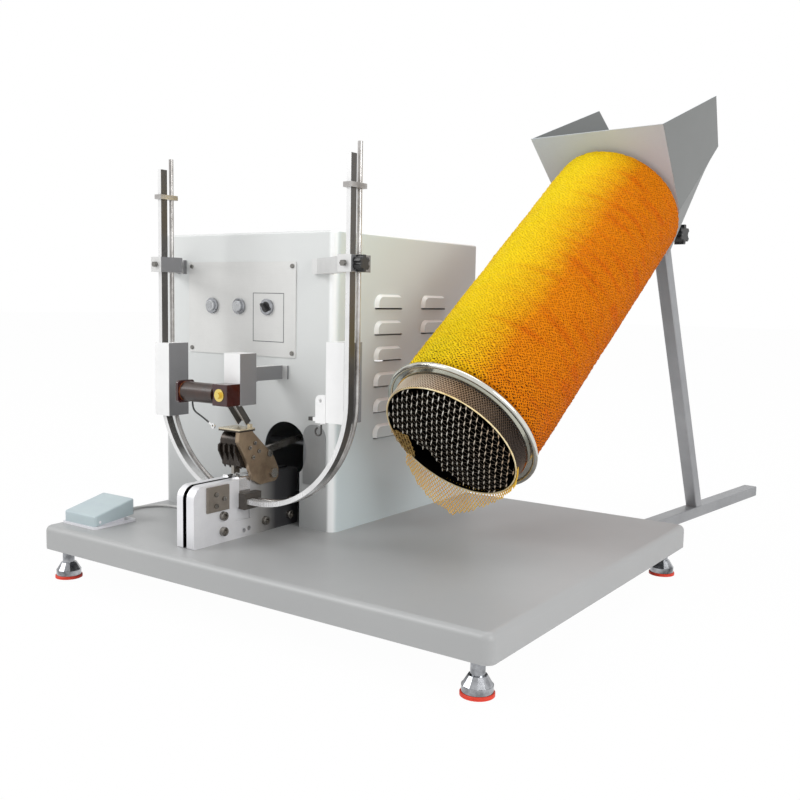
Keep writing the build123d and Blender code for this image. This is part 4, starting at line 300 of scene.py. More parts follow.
coil_route = [(235.2, 133.7, 226), (236.7, 132.7, 217), (244.2, 130.7, 210), (256.2, 128.7, 206),
              (270.2, 126.7, 201), (283.2, 125.7, 195)]
coil_lead = lead_curve("coil_earth_lead", coil_route, COIL_LEAD_D)
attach(coil_lead, "root")
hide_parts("coil_lead")

# %% [markdown]
# ## Finishes
#
# Real finishes are never one flat colour. Painted sheet has a faint orange peel and hand marks, drawn
# steel has fine lines along one direction, and ground steel shows them with oil between. Each effect is a
# node group with named sockets, built once and placed in every finish with its own values. A painted image
# would do it for one view, but it stretches over bent parts, and nodes keep their scale everywhere.

# %% Effect groups and colour mixes


def effect_group(name, inputs, outputs):
    """An empty shader group: inputs are (name, socket type, default), outputs are (name, socket type)."""
    group = bpy.data.node_groups.new(name, "ShaderNodeTree")
    for label, kind, value in inputs:
        socket = group.interface.new_socket(label, in_out="INPUT", socket_type="NodeSocket" + kind)
        socket.default_value = value
    for label, kind in outputs:
        group.interface.new_socket(label, in_out="OUTPUT", socket_type="NodeSocket" + kind)
    start = group.nodes.new("NodeGroupInput")
    end = group.nodes.new("NodeGroupOutput")
    return group, start, end


def blend_colours(tree, share, first, second):
    """A colour mix; share and colours are sockets or values."""
    node = add_node(tree, "Mix", data_type="RGBA")
    for socket, value in ((node.inputs[0], share), (node.inputs[6], first), (node.inputs[7], second)):
        if hasattr(value, "is_output"):
            tree.links.new(value, socket)
        else:
            socket.default_value = value
    return node.outputs[2]


# %% [markdown]
# ** Marks** are large soft patches and small specks, as fingers, wiping and dust leave them; on the chrome feet
# the large patches carry a dark painted reflection. Two noises at different scales are enough; the mask goes
# to colour and to roughness.

# %% Marks of handling and painted reflections
SPECKS_FINER = 45.0
marks_group, marks_in, marks_out = effect_group(
    "handling marks and painted reflections", [("Scale", "Float", 9.0), ("Specks", "Float", 0.3)],
    [("Patches", "Float"), ("Specks", "Float")])
marks_place = add_node(marks_group, "TexCoord")
marks_large = add_node(marks_group, "TexNoise", {"Detail": 5.0, "Roughness": 0.6})
join(marks_group, marks_place.outputs["Object"], marks_large.inputs["Vector"])
join(marks_group, marks_in.outputs["Scale"], marks_large.inputs["Scale"])
marks_fine = add_node(marks_group, "TexNoise", {"Detail": 2.0, "Roughness": 0.5})
join(marks_group, marks_place.outputs["Object"], marks_fine.inputs["Vector"])
join(marks_group, maths(marks_group, "MULTIPLY", marks_in.outputs["Scale"], SPECKS_FINER),
     marks_fine.inputs["Scale"])
marks_speck = add_node(marks_group, "MapRange", {"From Min": 0.62, "From Max": 0.74})
join(marks_group, marks_fine.outputs["Fac"], marks_speck.inputs["Value"])
join(marks_group, marks_large.outputs["Fac"], marks_out.inputs["Patches"])
join(marks_group, maths(marks_group, "MULTIPLY", marks_speck.outputs[0], marks_in.outputs["Specks"]),
     marks_out.inputs["Specks"])
print("handling marks and painted reflections", len(marks_group.nodes), "nodes")

# %% [markdown]
# **Drawn lines** are the fine parallel scratches of brushed, ground or drawn steel. A noise squeezed
# strongly along two directions and stretched along the third gives them, for bump and for roughness.

# %% Drawn lines
lines_group, lines_in, lines_out = effect_group(
    "drawn lines", [("Squeeze", "Vector", (30.0, 900.0, 900.0))],
    [("Lines", "Float")])
lines_place = add_node(lines_group, "TexCoord")
lines_scale = add_node(lines_group, "VectorMath", operation="MULTIPLY")
join(lines_group, lines_place.outputs["Object"], lines_scale.inputs[0])
join(lines_group, lines_in.outputs["Squeeze"], lines_scale.inputs[1])
lines_noise = add_node(lines_group, "TexNoise", {"Scale": 1.0, "Detail": 3.0, "Roughness": 0.65})
join(lines_group, lines_scale.outputs[0], lines_noise.inputs["Vector"])
join(lines_group, lines_noise.outputs["Fac"], lines_out.inputs["Lines"])
print("drawn lines", len(lines_group.nodes), "nodes")

# %% [markdown]
# **Sprayed skin** is the fine unevenness of paint and of moulded plastic. It is a height only: a close
# noise with a little of a wider one, as a sprayed coat flows before it hardens.

# %% Sprayed skin
WIDE_SHARE = 0.22
WIDE_HEIGHT = 1.6
skin_group, skin_in, skin_out = effect_group(
    "sprayed skin", [("Scale", "Float", 700.0)], [("Height", "Float")])
skin_place = add_node(skin_group, "TexCoord")
skin_close = add_node(skin_group, "TexNoise", {"Detail": 1.0})
skin_wide = add_node(skin_group, "TexNoise", {"Detail": 1.0})
for skin_noise, skin_share in ((skin_close, 1.0), (skin_wide, WIDE_SHARE)):
    join(skin_group, skin_place.outputs["Object"], skin_noise.inputs["Vector"])
    join(skin_group, maths(skin_group, "MULTIPLY", skin_in.outputs["Scale"], skin_share),
         skin_noise.inputs["Scale"])
skin_height = maths(skin_group, "MULTIPLY_ADD", skin_wide.outputs["Fac"], WIDE_HEIGHT,
                    skin_close.outputs["Fac"])
join(skin_group, skin_height, skin_out.inputs["Height"])
print("sprayed skin", len(skin_group.nodes), "nodes")

# %% [markdown]
# One maker for finishes keeps them alike: a base colour that drifts towards a second one in the patches and
# specks, which on the chrome feet lay on a painted reflection, a roughness that follows marks or drawn lines,
# and a bump. Values that are the same all over stay on the Principled shader's own sockets. Writing each
# finish out by itself would repeat the same dozen nodes fifty times.

# %% Finish maker
PATCH_FROM = 0.35
PATCH_TO = 0.72
DARKER = 0.8
SKIN_DEPTH = 0.00003
BUMP_STRENGTH = 0.5


def finish(name, colour, second=None, rough=0.4, metal=0.0, coat=0.0, marks=9.0, specks=0.3, drift=0.5,
           skin=0.0, lines=None, line_depth=0.0, line_colour=0.0, rough_swing=0.12, specular=0.5):
    """A procedural finish in two colours; lines is how far drawn lines are squeezed along x, y and z."""
    material = bpy.data.materials.new(name)
    material.use_nodes = True
    tree = material.node_tree
    shader = tree.nodes["Principled BSDF"]
    shader.inputs["Coat Weight"].default_value = coat
    shader.inputs["Metallic"].default_value = metal
    shader.inputs["Specular IOR Level"].default_value = specular
    second = second or tuple(DARKER * c for c in colour[:3]) + (1,)
    mark = tree.nodes.new("ShaderNodeGroup")
    mark.node_tree = marks_group
    mark.inputs["Scale"].default_value = marks
    mark.inputs["Specks"].default_value = specks
    share = add_node(tree, "MapRange", {"From Min": PATCH_FROM, "From Max": PATCH_TO, "To Max": drift})
    join(tree, mark.outputs["Patches"], share.inputs["Value"])
    tint = blend_colours(tree, share.outputs[0], colour, second)
    tint = blend_colours(tree, mark.outputs["Specks"], tint, second)
    swing = maths(tree, "MULTIPLY_ADD", mark.outputs["Patches"], 2 * rough_swing, rough - rough_swing)
    height = None
    if lines:
        drawn = tree.nodes.new("ShaderNodeGroup")
        drawn.node_tree = lines_group
        drawn.inputs["Squeeze"].default_value = lines
        swing = maths(tree, "MULTIPLY_ADD", drawn.outputs["Lines"], rough_swing, swing)
        line_share = maths(tree, "MULTIPLY", drawn.outputs["Lines"], line_colour)
        tint = blend_colours(tree, line_share, tint, second)
        height, depth = drawn.outputs["Lines"], line_depth
    if skin:
        sprayed = tree.nodes.new("ShaderNodeGroup")
        sprayed.node_tree = skin_group
        sprayed.inputs["Scale"].default_value = skin
        height, depth = sprayed.outputs["Height"], SKIN_DEPTH
    if height:
        bump = add_node(tree, "Bump", {"Strength": BUMP_STRENGTH, "Distance": depth})
        join(tree, height, bump.inputs["Height"])
        join(tree, bump.outputs[0], shader.inputs["Normal"])
    join(tree, tint, shader.inputs["Base Color"])
    join(tree, swing, shader.inputs["Roughness"])
    return material


def retint(material, mask_maker, colour):
    """Lays a colour over a finish where a mask, made from the finish's own node tree, is 1."""
    tree = material.node_tree
    shader = tree.nodes["Principled BSDF"]
    socket = shader.inputs["Base Color"]
    before = socket.links[0].from_socket
    join(tree, blend_colours(tree, mask_maker(tree), before, colour), socket)


def axis_mask(axis, low, high, source="Object"):
    """A mask from 0 to 1 between two places along an axis, or between two values of the normal."""
    def maker(tree):
        place = add_node(tree, "TexCoord")
        parts = add_node(tree, "SeparateXYZ")
        join(tree, place.outputs[source], parts.inputs[0])
        span = add_node(tree, "MapRange", {"From Min": low, "From Max": high})
        join(tree, parts.outputs[axis], span.inputs["Value"])
        return span.outputs[0]
    return maker


# %% [markdown]
# ## Paint and steel of the platform and the cabinet
#
# The platform is satin grey sheet with soft folded edges. The cabinet is a lighter warm grey paint, its
# control plate brushed along its length. The feet are chromed, with a red-orange rubber ring below. Where a
# sheet has painted shade towards the deck, a painted highlight at a folded corner or a painted tone on a face
# turned to the right, a mask on its place or on the way its surface faces lays a second colour over the
# finish.

# %% Sheet finishes
ALONG_X = (26.0, 1500.0, 1500.0)
ALONG_Y = (1500.0, 26.0, 1500.0)
ALONG_Z = (1500.0, 1500.0, 26.0)


def place_mask(axis, low, high):
    """A mask from 0 to 1 between two places along an axis, in machine millimetres."""
    index = "XYZ".index(axis)
    return axis_mask(axis, *(spot(value, value, value)[index] for value in (low, high)))


def faces_right(low, high):
    """A mask from 0 to 1 as a surface turns to the machine's right, by its normal."""
    return axis_mask("X", low, high, "Normal")


platform_satin = finish("platform satin sheet", screen(170, 171, 171), screen(160, 161, 162), rough=0.46,
                        metal=0.08, coat=0.05, marks=2.6, specks=0.06, skin=520, rough_swing=0.06)
cabinet_grey = finish("cabinet satin paint", screen(222, 224, 223), screen(212, 215, 214), rough=0.36,
                      coat=0.18, marks=3.2, specks=0.04, skin=620, rough_swing=0.05)
# painted shade towards the deck, a painted highlight at the folded front corner, and the right side
# painted cooler against the orange light bounced from the net
retint(cabinet_grey, place_mask("Z", 330, 20), screen(184, 186, 186))
retint(cabinet_grey, faces_right(0.1, 0.35), screen(250, 252, 252))
retint(cabinet_grey, faces_right(0.75, 0.97), screen(206, 217, 219))
plate_brushed = finish("control plate brushed", screen(224, 224, 222), screen(205, 205, 203), rough=0.34,
                       metal=0.35, marks=14, lines=ALONG_X, line_depth=0.00002, line_colour=0.5)
inner_sheet = finish("inner steel sheet", screen(150, 152, 154), screen(118, 120, 124), rough=0.45,
                     metal=0.7, marks=7, lines=ALONG_Y, line_depth=0.00002, line_colour=0.4)
shutter_steel = finish("shutter brushed steel", screen(176, 178, 178), screen(140, 142, 144), rough=0.38,
                       metal=0.55, marks=16, lines=ALONG_Z, line_depth=0.00002, line_colour=0.5)
# the dark second colour in the large patches is a painted reflection of dark surroundings
foot_chrome = finish("foot chrome", screen(176, 178, 182), screen(52, 53, 55), rough=0.12, metal=1.0,
                     marks=46, drift=1.0, rough_swing=0.05)
foot_ring_red = finish("foot ring red rubber", screen(232, 66, 40), screen(190, 40, 24), rough=0.55,
                       marks=70, specks=0.4, skin=1600)
print("sheet finishes made,", len(bpy.data.materials), "materials so far")

# %% [markdown]
# ## Polished, white and dark parts of the head
#
# The clip rails are polished bright. The cover boxes have white fronts, with painted shade on their sides.
# The punch head is oiled steel with a bronze tint, the die jaws are chromed, and knobs and selector are matt
# black plastic. In a white studio polished steel shows white to the lamps and dark to the sides. Only part of
# that comes from the reflections here, so the faces that turn to the right get a painted dark reflection.

# %% Head finishes
TAPE_TURNS = (520.0, 14.0, 14.0)
rail_polished = finish("rail polished steel", screen(240, 240, 240), screen(204, 204, 204), rough=0.26,
                       metal=0.55, marks=22, drift=0.6, rough_swing=0.05, lines=ALONG_Z,
                       line_depth=0.00001, line_colour=0.3)
# faces turned to the right get a painted dark reflection
retint(rail_polished, faces_right(0.6, 0.8), screen(88, 86, 84))
rod_polished = finish("rail rod steel", screen(196, 194, 192), screen(92, 84, 78), rough=0.24, metal=0.7,
                      marks=26, drift=0.8, rough_swing=0.06)
bracket_grey = finish("bracket brushed steel", screen(226, 226, 225), screen(198, 198, 197), rough=0.32,
                      metal=0.4, marks=20, lines=ALONG_Y, line_depth=0.00002, line_colour=0.5)
# faces turned to the right get painted shade
retint(bracket_grey, faces_right(0.6, 0.8), screen(128, 128, 130))
cover_white = finish("cover white sheet", screen(246, 246, 246), screen(228, 228, 228), rough=0.32,
                     coat=0.2, marks=14, specks=0.1, skin=800, rough_swing=0.05)
# the sides turned to the right get painted shade
retint(cover_white, faces_right(0.55, 0.75), screen(124, 124, 126))
block_look = dict(rough=0.28, metal=0.4, marks=16, specks=0.03, lines=ALONG_Y, line_depth=0.00001,
                  line_colour=0.35)
block_bright = finish("die block ground steel", screen(240, 240, 242), screen(208, 208, 212), **block_look)
block_left = finish("left die plate ground steel", screen(244, 244, 246), screen(212, 212, 216), **block_look)
plate_grey = place_mask("Y", 150, 200)
plate_dark = place_mask("Y", 205, 240)
# painted shade darkens the plates towards the back and makes them black inside the slot
for plate, slot_side in ((block_bright, (-0.6, -0.8)), (block_left, (0.6, 0.8))):
    retint(plate, plate_grey, screen(158, 156, 154))
    retint(plate, plate_dark, screen(66, 66, 68))
    retint(plate, faces_right(*slot_side), screen(16, 16, 16))
dark_ground = finish("dark ground steel", screen(104, 99, 94), screen(62, 58, 54), rough=0.36, metal=0.6,
                     marks=40, specks=0.4, lines=ALONG_X, line_depth=0.00002, line_colour=0.6)
# near black: dark steel, darkened further as painted shade deep in the slot
slot_black = finish("slot spacer dark steel with painted shade", screen(26, 26, 26), screen(14, 14, 14), rough=0.5,
                    metal=0.2, marks=30)
face_brown = finish("face plate brown grey steel", screen(146, 138, 128), screen(100, 92, 84), rough=0.34,
                    metal=0.5, marks=30, specks=0.3, lines=ALONG_Y, line_depth=0.00002, line_colour=0.5)
tool_ground = finish("tool steel ground", screen(176, 172, 166), screen(120, 114, 106), rough=0.22,
                     metal=0.9, marks=50, lines=ALONG_Y, line_depth=0.00001, line_colour=0.5)
jaw_chrome = finish("jaw chrome", screen(240, 240, 240), screen(190, 192, 196), rough=0.10, metal=0.9,
                    marks=80, drift=0.4, rough_swing=0.04)
head_bronze = finish("head oiled bronze steel", screen(168, 148, 124), screen(104, 86, 68), rough=0.28,
                     metal=0.6, marks=26, specks=0.3, drift=0.9, lines=ALONG_Z, line_depth=0.00002,
                     line_colour=0.5)
head_housing = finish("head housing dark", screen(62, 54, 48), screen(24, 21, 19), rough=0.26, metal=0.55,
                      marks=34, specks=0.4, drift=0.9)
# the small plate on top of the head is pale
retint(head_housing, place_mask("Z", 183, 184.5), screen(214, 202, 176))
sensor_white = finish("sensor white plastic", screen(246, 246, 246), screen(228, 228, 228), rough=0.32,
                      coat=0.2, marks=14, specks=0.1, skin=800, rough_swing=0.05)
# the stop beside the sensor and the hook below it are dark
retint(sensor_white, place_mask("X", 480.2, 479.8), screen(44, 42, 40))
retint(sensor_white, place_mask("Z", 207.4, 206.6), screen(52, 50, 48))
screw_zinc = finish("screw dark zinc", screen(150, 146, 140), screen(66, 62, 58), rough=0.24, metal=0.85,
                    marks=140, specks=0.4, drift=0.8)
screw_nickel = finish("panel screw nickel", screen(120, 118, 112), screen(70, 68, 64), rough=0.24,
                      metal=0.9, marks=140, drift=0.7)
# of these screws only the solenoid's terminal nut is brass
retint(screw_nickel, place_mask("Y", 200, 150), screen(228, 204, 120))
retint(screw_nickel, place_mask("Z", 270, 290), screen(132, 130, 126))
switch_chrome = finish("switch bezel chrome", screen(176, 178, 182), screen(104, 106, 110), rough=0.14,
                       metal=0.9, marks=70, drift=0.6, rough_swing=0.04)
button_cap = finish("button cap pale", screen(206, 208, 210), screen(176, 178, 182), rough=0.26, metal=0.3,
                    coat=0.3, marks=90, skin=1500)
black_moulded = finish("black moulded plastic", screen(34, 34, 35), screen(20, 20, 21), rough=0.42,
                       marks=60, specks=0.4, skin=1500, coat=0.1)
coil_tape = finish("coil winding tape", screen(22, 18, 17), screen(66, 36, 22), rough=0.3, marks=60,
                   specks=0.4, drift=0.6, lines=TAPE_TURNS, line_depth=0.0004, line_colour=0.5,
                   coat=0.15)
# the coil's left collar is orange brown
retint(coil_tape, place_mask("X", 223, 219), screen(176, 96, 40))
coil_dark_red = finish("coil block dark red", screen(58, 10, 10), screen(26, 6, 7), rough=0.22, coat=0.5,
                       marks=60, specks=0.4)
motor_blue = finish("motor blue grey paint", screen(84, 92, 106), screen(60, 66, 78), rough=0.45,
                    coat=0.1, marks=12, skin=700)
print("head finishes made,", len(bpy.data.materials), "materials so far")

# %% [markdown]
# ## Foot switch, leads, stand and tube
#
# The foot switch is pale moulded plastic. The stand is brushed square tube. The net tube, its ring and
# the hopper are stainless sheet; inside the tube it is dark, so that part gets an almost black painted shade.

# %% Other finishes
ROLLED = (60.0, 1300.0, 700.0)
pedal_pale = finish("pedal pale plastic", screen(184, 199, 202), screen(176, 188, 196), rough=0.4,
                    marks=30, specks=0.2, skin=1100, coat=0.1)
pedal_white = finish("pedal base plastic", screen(236, 236, 240), screen(214, 212, 220), rough=0.42,
                     marks=30, specks=0.2, skin=1100)
lead_grey = finish("lead grey rubber", screen(206, 206, 204), screen(176, 176, 174), rough=0.5, marks=60,
                   skin=1800)
lead_black = finish("lead black rubber", screen(30, 30, 32), screen(18, 18, 18), rough=0.45, marks=60,
                    skin=1800)
spring_steel = finish("spring steel", screen(190, 190, 192), screen(120, 120, 124), rough=0.2, metal=1.0,
                      marks=90)
stand_brushed = finish("stand brushed steel", screen(160, 161, 163), screen(126, 127, 130), rough=0.36,
                       metal=0.55, marks=8, lines=ALONG_Y, line_depth=0.00002, line_colour=0.5)
post_brushed = finish("post brushed steel", screen(166, 167, 169), screen(128, 129, 132), rough=0.34,
                      metal=0.6, marks=9, lines=ALONG_Z, line_depth=0.00002, line_colour=0.5)
tube_stainless = finish("tube stainless", screen(186, 186, 184), screen(150, 150, 150), rough=0.28,
                        metal=0.8, marks=10, lines=ROLLED, line_depth=0.00001,
                        line_colour=0.4)
hopper_stainless = finish("hopper stainless sheet", screen(198, 206, 212), screen(178, 186, 192), rough=0.42,
                          metal=0.15, marks=5, lines=ROLLED, line_depth=0.00001,
                          line_colour=0.4, rough_swing=0.08)
# the flap turned to the right gets painted shade
retint(hopper_stainless, faces_right(0.45, 0.6), screen(116, 118, 117))
ring_stainless = finish("ring rolled stainless", screen(222, 222, 214), screen(168, 168, 160), rough=0.14,
                        metal=1.0, marks=18, drift=0.5, rough_swing=0.05)
print("other finishes made,", len(bpy.data.materials), "materials so far")

# %% [markdown]
# The net tube is bright steel outside, with painted shade inside. Where the thin net covers its end it is
# brownish grey, partly the net's colour and partly painted shade under the ring, darkest on the right. The
# masks measure each point from the tube's own axis, because the tube leans in two directions and no plain
# axis of the frame would fit it.

# %% Tints of the tube
TUBE_INSIDE_RADIUS = 0.1182
SHADE_FROM_X = 0.22
SHADE_TO_X = 0.31


def from_ring(tree):
    """The way from the ring's middle to a point of the surface."""
    place = add_node(tree, "TexCoord")
    reach = add_node(tree, "VectorMath", {1: tuple(ring_middle)}, operation="SUBTRACT")
    join(tree, place.outputs["Object"], reach.inputs[0])
    return reach.outputs[0]


def inside_tube(tree):
    """1 on the tube's inner wall: the distance from the tube's axis, measured with a cross product."""
    turn = add_node(tree, "VectorMath", {1: tuple(tube_along)}, operation="CROSS_PRODUCT")
    join(tree, from_ring(tree), turn.inputs[0])
    length = add_node(tree, "VectorMath", operation="LENGTH")
    join(tree, turn.outputs[0], length.inputs[0])
    return maths(tree, "LESS_THAN", length.outputs["Value"], TUBE_INSIDE_RADIUS)


def under_net(tree):
    """1 on the tube's end below the ring, under the net, where the ring's shade is painted."""
    height = add_node(tree, "VectorMath", {1: tuple(tube_along)}, operation="DOT_PRODUCT")
    join(tree, from_ring(tree), height.inputs[0])
    return maths(tree, "LESS_THAN", height.outputs["Value"], 0.0)


def under_net_right(tree):
    """The same place on the tube's right side, where its painted shade is darkest."""
    return maths(tree, "MULTIPLY", under_net(tree), axis_mask("X", SHADE_FROM_X, SHADE_TO_X)(tree))


# painted shade: brownish grey under the net below the ring, partly the net's colour, darker on the right, and
# almost black inside the tube
retint(tube_stainless, under_net, screen(112, 92, 74))
retint(tube_stainless, under_net_right, screen(46, 38, 32))
retint(tube_stainless, inside_tube, screen(14, 13, 13))
print("tube tinted below the ring and inside", TUBE_INSIDE_RADIUS, "m")

# %% [markdown]
# Each CAD node keeps its exact shape and takes its finish on the object's own material slots. The table
# below is the parts list of the machine with what each part is made of.

# %% Give each CAD node its finish
node_finishes = {
    "platform": platform_satin, "platform_frame": inner_sheet, "foot_rings": foot_ring_red,
    "foot_front_left": foot_chrome, "foot_front_right": foot_chrome, "foot_rear_left": foot_chrome,
    "foot_rear_right": foot_chrome, "cabinet": cabinet_grey, "rear_panel": cabinet_grey,
    "mains_inlet": black_moulded, "control_plate": plate_brushed, "fixing_screws": screw_nickel,
    "panel_switches": switch_chrome, "power_button": button_cap, "reset_button": button_cap,
    "selector_knob": black_moulded, "opening_shutter": shutter_steel, "control_box": inner_sheet,
    "gear_motor": motor_blue, "drive_bracket": inner_sheet, "drive_cam": tool_ground,
    "drive_rod": tool_ground, "block_left_plate": block_left, "block_right_plate": block_bright,
    "block_spacer": slot_black, "block_screws": screw_zinc, "face_plate": face_brown,
    "die_jaws": jaw_chrome, "clip_guide": dark_ground, "head_pin": tool_ground,
    "punch_housing": head_housing, "punch_blade": tool_ground, "punch_side_plate": head_bronze,
    "punch_screws": screw_zinc, "left_rail": rail_polished, "right_rail": rail_polished,
    "rail_rods": rod_polished, "rail_brackets": bracket_grey, "clamp_knob": black_moulded,
    "left_cover": cover_white, "right_cover": cover_white, "centre_cover": cover_white,
    "centre_chute": rail_polished, "coil_block": coil_dark_red, "solenoid_coil": coil_tape,
    "clip_sensor": sensor_white, "pedal_base": pedal_white, "pedal_cover": pedal_pale,
    "pedal_spring": spring_steel, "cabinet_gland": black_moulded, "ring_terminal": jaw_chrome,
    "stand_foot": stand_brushed, "stand_post": post_brushed, "stand_knob": black_moulded,
    "net_tube": tube_stainless, "mouth_ring": ring_stainless, "hopper": hopper_stainless,
    "pedal_lead": lead_grey, "coil_lead": lead_black,
}
for node, material in node_finishes.items():
    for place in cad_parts[node].material_slots:
        place.link = "OBJECT"
        place.material = material
pedal_lead.data.materials.append(lead_grey)
coil_lead.data.materials.append(lead_black)
print("nodes with a finish", len(node_finishes), "of", len(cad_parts))

# %% [markdown]
# ## Net on the tube
#
# A packing net is a knitted plastic tube, pushed together over the steel tube until many metres of it sit
# there in thousands of small pleats. Pushed together it looks like a soft crinkled sleeve with the
# diamond of the knit still showing. Its form is one surface of rings, whose radius carries the pleats and
# the knit as real height, so that its outline and its light are right. The knit's fine threads are in the
# material, on the surface's own coordinates: two sets of slanting waves that cross. Single threads as mesh
# would be truer still, but there are kilometres of them under each other.

# %% Knit of the sleeve
NET_STITCH = 7.2
KNIT_SLOPE = 1.3
KNIT_WANDER_REACH = 0.02
knit_group, knit_in, knit_out = effect_group(
    "net knit", [("Pitch", "Float", NET_STITCH * MM), ("Wander", "Float", 0.85)],
    [("Thread", "Float"), ("Height", "Float"), ("Wear", "Float")])
knit_uv = add_node(knit_group, "TexCoord")
knit_wander = add_node(knit_group, "TexNoise", {"Scale": 90.0, "Detail": 3.0})
join(knit_group, knit_uv.outputs["UV"], knit_wander.inputs["Vector"])
knit_parts = add_node(knit_group, "SeparateXYZ")
join(knit_group, knit_uv.outputs["UV"], knit_parts.inputs[0])
knit_shift = maths(knit_group, "MULTIPLY", maths(knit_group, "SUBTRACT", knit_wander.outputs["Fac"], 0.5),
                   maths(knit_group, "MULTIPLY", knit_in.outputs["Wander"], KNIT_WANDER_REACH))
knit_turns = maths(knit_group, "DIVIDE", pi, knit_in.outputs["Pitch"])
knit_waves = []
for slope in (1.0, -1.0):
    run = maths(knit_group, "MULTIPLY_ADD", knit_parts.outputs["Y"], slope * KNIT_SLOPE,
                knit_parts.outputs["X"])
    run = maths(knit_group, "ADD", run, knit_shift)
    wave = maths(knit_group, "SINE", maths(knit_group, "MULTIPLY", run, knit_turns))
    knit_waves.append(maths(knit_group, "ABSOLUTE", wave))
knit_ridge = maths(knit_group, "MAXIMUM", *knit_waves)
knit_edge = add_node(knit_group, "MapRange", {"From Min": 0.45, "From Max": 0.88})
join(knit_group, knit_ridge, knit_edge.inputs["Value"])
join(knit_group, knit_edge.outputs[0], knit_out.inputs["Thread"])
join(knit_group, knit_ridge, knit_out.inputs["Height"])
knit_wear = add_node(knit_group, "TexNoise", {"Scale": 140.0, "Detail": 2.0})
join(knit_group, knit_uv.outputs["UV"], knit_wear.inputs["Vector"])
knit_worn = add_node(knit_group, "MapRange", {"From Min": 0.36, "From Max": 0.52})
join(knit_group, knit_wear.outputs["Fac"], knit_worn.inputs["Value"])
join(knit_group, knit_worn.outputs[0], knit_out.inputs["Wear"])
print("net knit", len(knit_group.nodes), "nodes, stitch", NET_STITCH, "mm")

# %% [markdown]
# The colour of the sleeve turns from clear yellow on the lit top to deep orange at the side and below: partly
# the thin net letting light through and layer lying on layer, and partly painted light and shade. It goes by
# the height towards the tube's lit side, with soft patches, because lamps alone would darken the yellow
# towards brown. Streaks follow the pushed pleats, the openings of the knit are darkened with painted shade,
# most on the shaded side, and near the ring dark flecks of the steel show through.

# %% Net colours
NET_PATCHES = 9
PATCH_SHIFT = 0.024
YELLOW_ABOVE = 0.152
ORANGE_BELOW = 0.079
DEEP_BELOW = -0.09
STREAK_SCALE = (7, 46, 1)
STREAK_MOST = 0.5
PIT_NEAR_RING = 0.95
PIT_FARTHER = 0.5
PIT_SIDE = 0.65
PIT_TOP = 0.35
FLECK_FROM = 0.10
FLECK_FULL = 0.015
KNIT_DEPTH = 0.0022
net_yellow = bpy.data.materials.new("net orange knit")
net_yellow.use_nodes = True
net_tree = net_yellow.node_tree
net_shader = net_tree.nodes["Principled BSDF"]
net_knit = net_tree.nodes.new("ShaderNodeGroup")
net_knit.node_tree = knit_group
net_marks = net_tree.nodes.new("ShaderNodeGroup")
net_marks.node_tree = marks_group
net_marks.inputs["Scale"].default_value = NET_PATCHES
NET_YELLOW = screen(255, 229, 24)
NET_ORANGE = screen(226, 130, 2)
NET_DEEP = screen(208, 106, 0)
NET_STREAK = screen(206, 84, 0)
NET_PIT = screen(132, 58, 0)
NET_FLECK = screen(60, 34, 10)
LIT_ANGLE = radians(105)
net_lit_side = tube_side * cos(LIT_ANGLE) + tube_up * sin(LIT_ANGLE)
net_place = add_node(net_tree, "TexCoord")
net_reach = from_ring(net_tree)


def tube_measure(direction):
    """Distance in metres from the ring's middle along one direction of the tube."""
    measure = add_node(net_tree, "VectorMath", {1: tuple(direction)}, operation="DOT_PRODUCT")
    join(net_tree, net_reach, measure.inputs[0])
    return measure.outputs["Value"]


# painted light and shade: yellow towards the lit side, orange and deep orange on the shaded side and below
net_height = maths(net_tree, "MULTIPLY_ADD", net_marks.outputs["Patches"], PATCH_SHIFT,
                   tube_measure(net_lit_side))
net_turned = add_node(net_tree, "MapRange", {"From Min": YELLOW_ABOVE, "From Max": ORANGE_BELOW})
join(net_tree, net_height, net_turned.inputs["Value"])
net_under = add_node(net_tree, "MapRange", {"From Min": ORANGE_BELOW, "From Max": DEEP_BELOW})
join(net_tree, net_height, net_under.inputs["Value"])
net_thread_colour = blend_colours(net_tree, net_turned.outputs[0], NET_YELLOW, NET_ORANGE)
net_thread_colour = blend_colours(net_tree, net_under.outputs[0], net_thread_colour, NET_DEEP)
net_streak_place = add_node(net_tree, "VectorMath", {1: STREAK_SCALE}, operation="MULTIPLY")
join(net_tree, net_place.outputs["UV"], net_streak_place.inputs[0])
net_streak_noise = add_node(net_tree, "TexNoise", {"Scale": 1.0, "Detail": 2.0})
join(net_tree, net_streak_place.outputs[0], net_streak_noise.inputs["Vector"])
net_streak = add_node(net_tree, "MapRange", {"From Min": 0.5, "From Max": 0.68, "To Max": STREAK_MOST})
join(net_tree, net_streak_noise.outputs["Fac"], net_streak.inputs["Value"])
net_thread_colour = blend_colours(
    net_tree, maths(net_tree, "MULTIPLY", net_streak.outputs[0], net_turned.outputs[0]),
    net_thread_colour, NET_STREAK)
net_open = maths(net_tree, "SUBTRACT", 1.0, net_knit.outputs["Thread"])
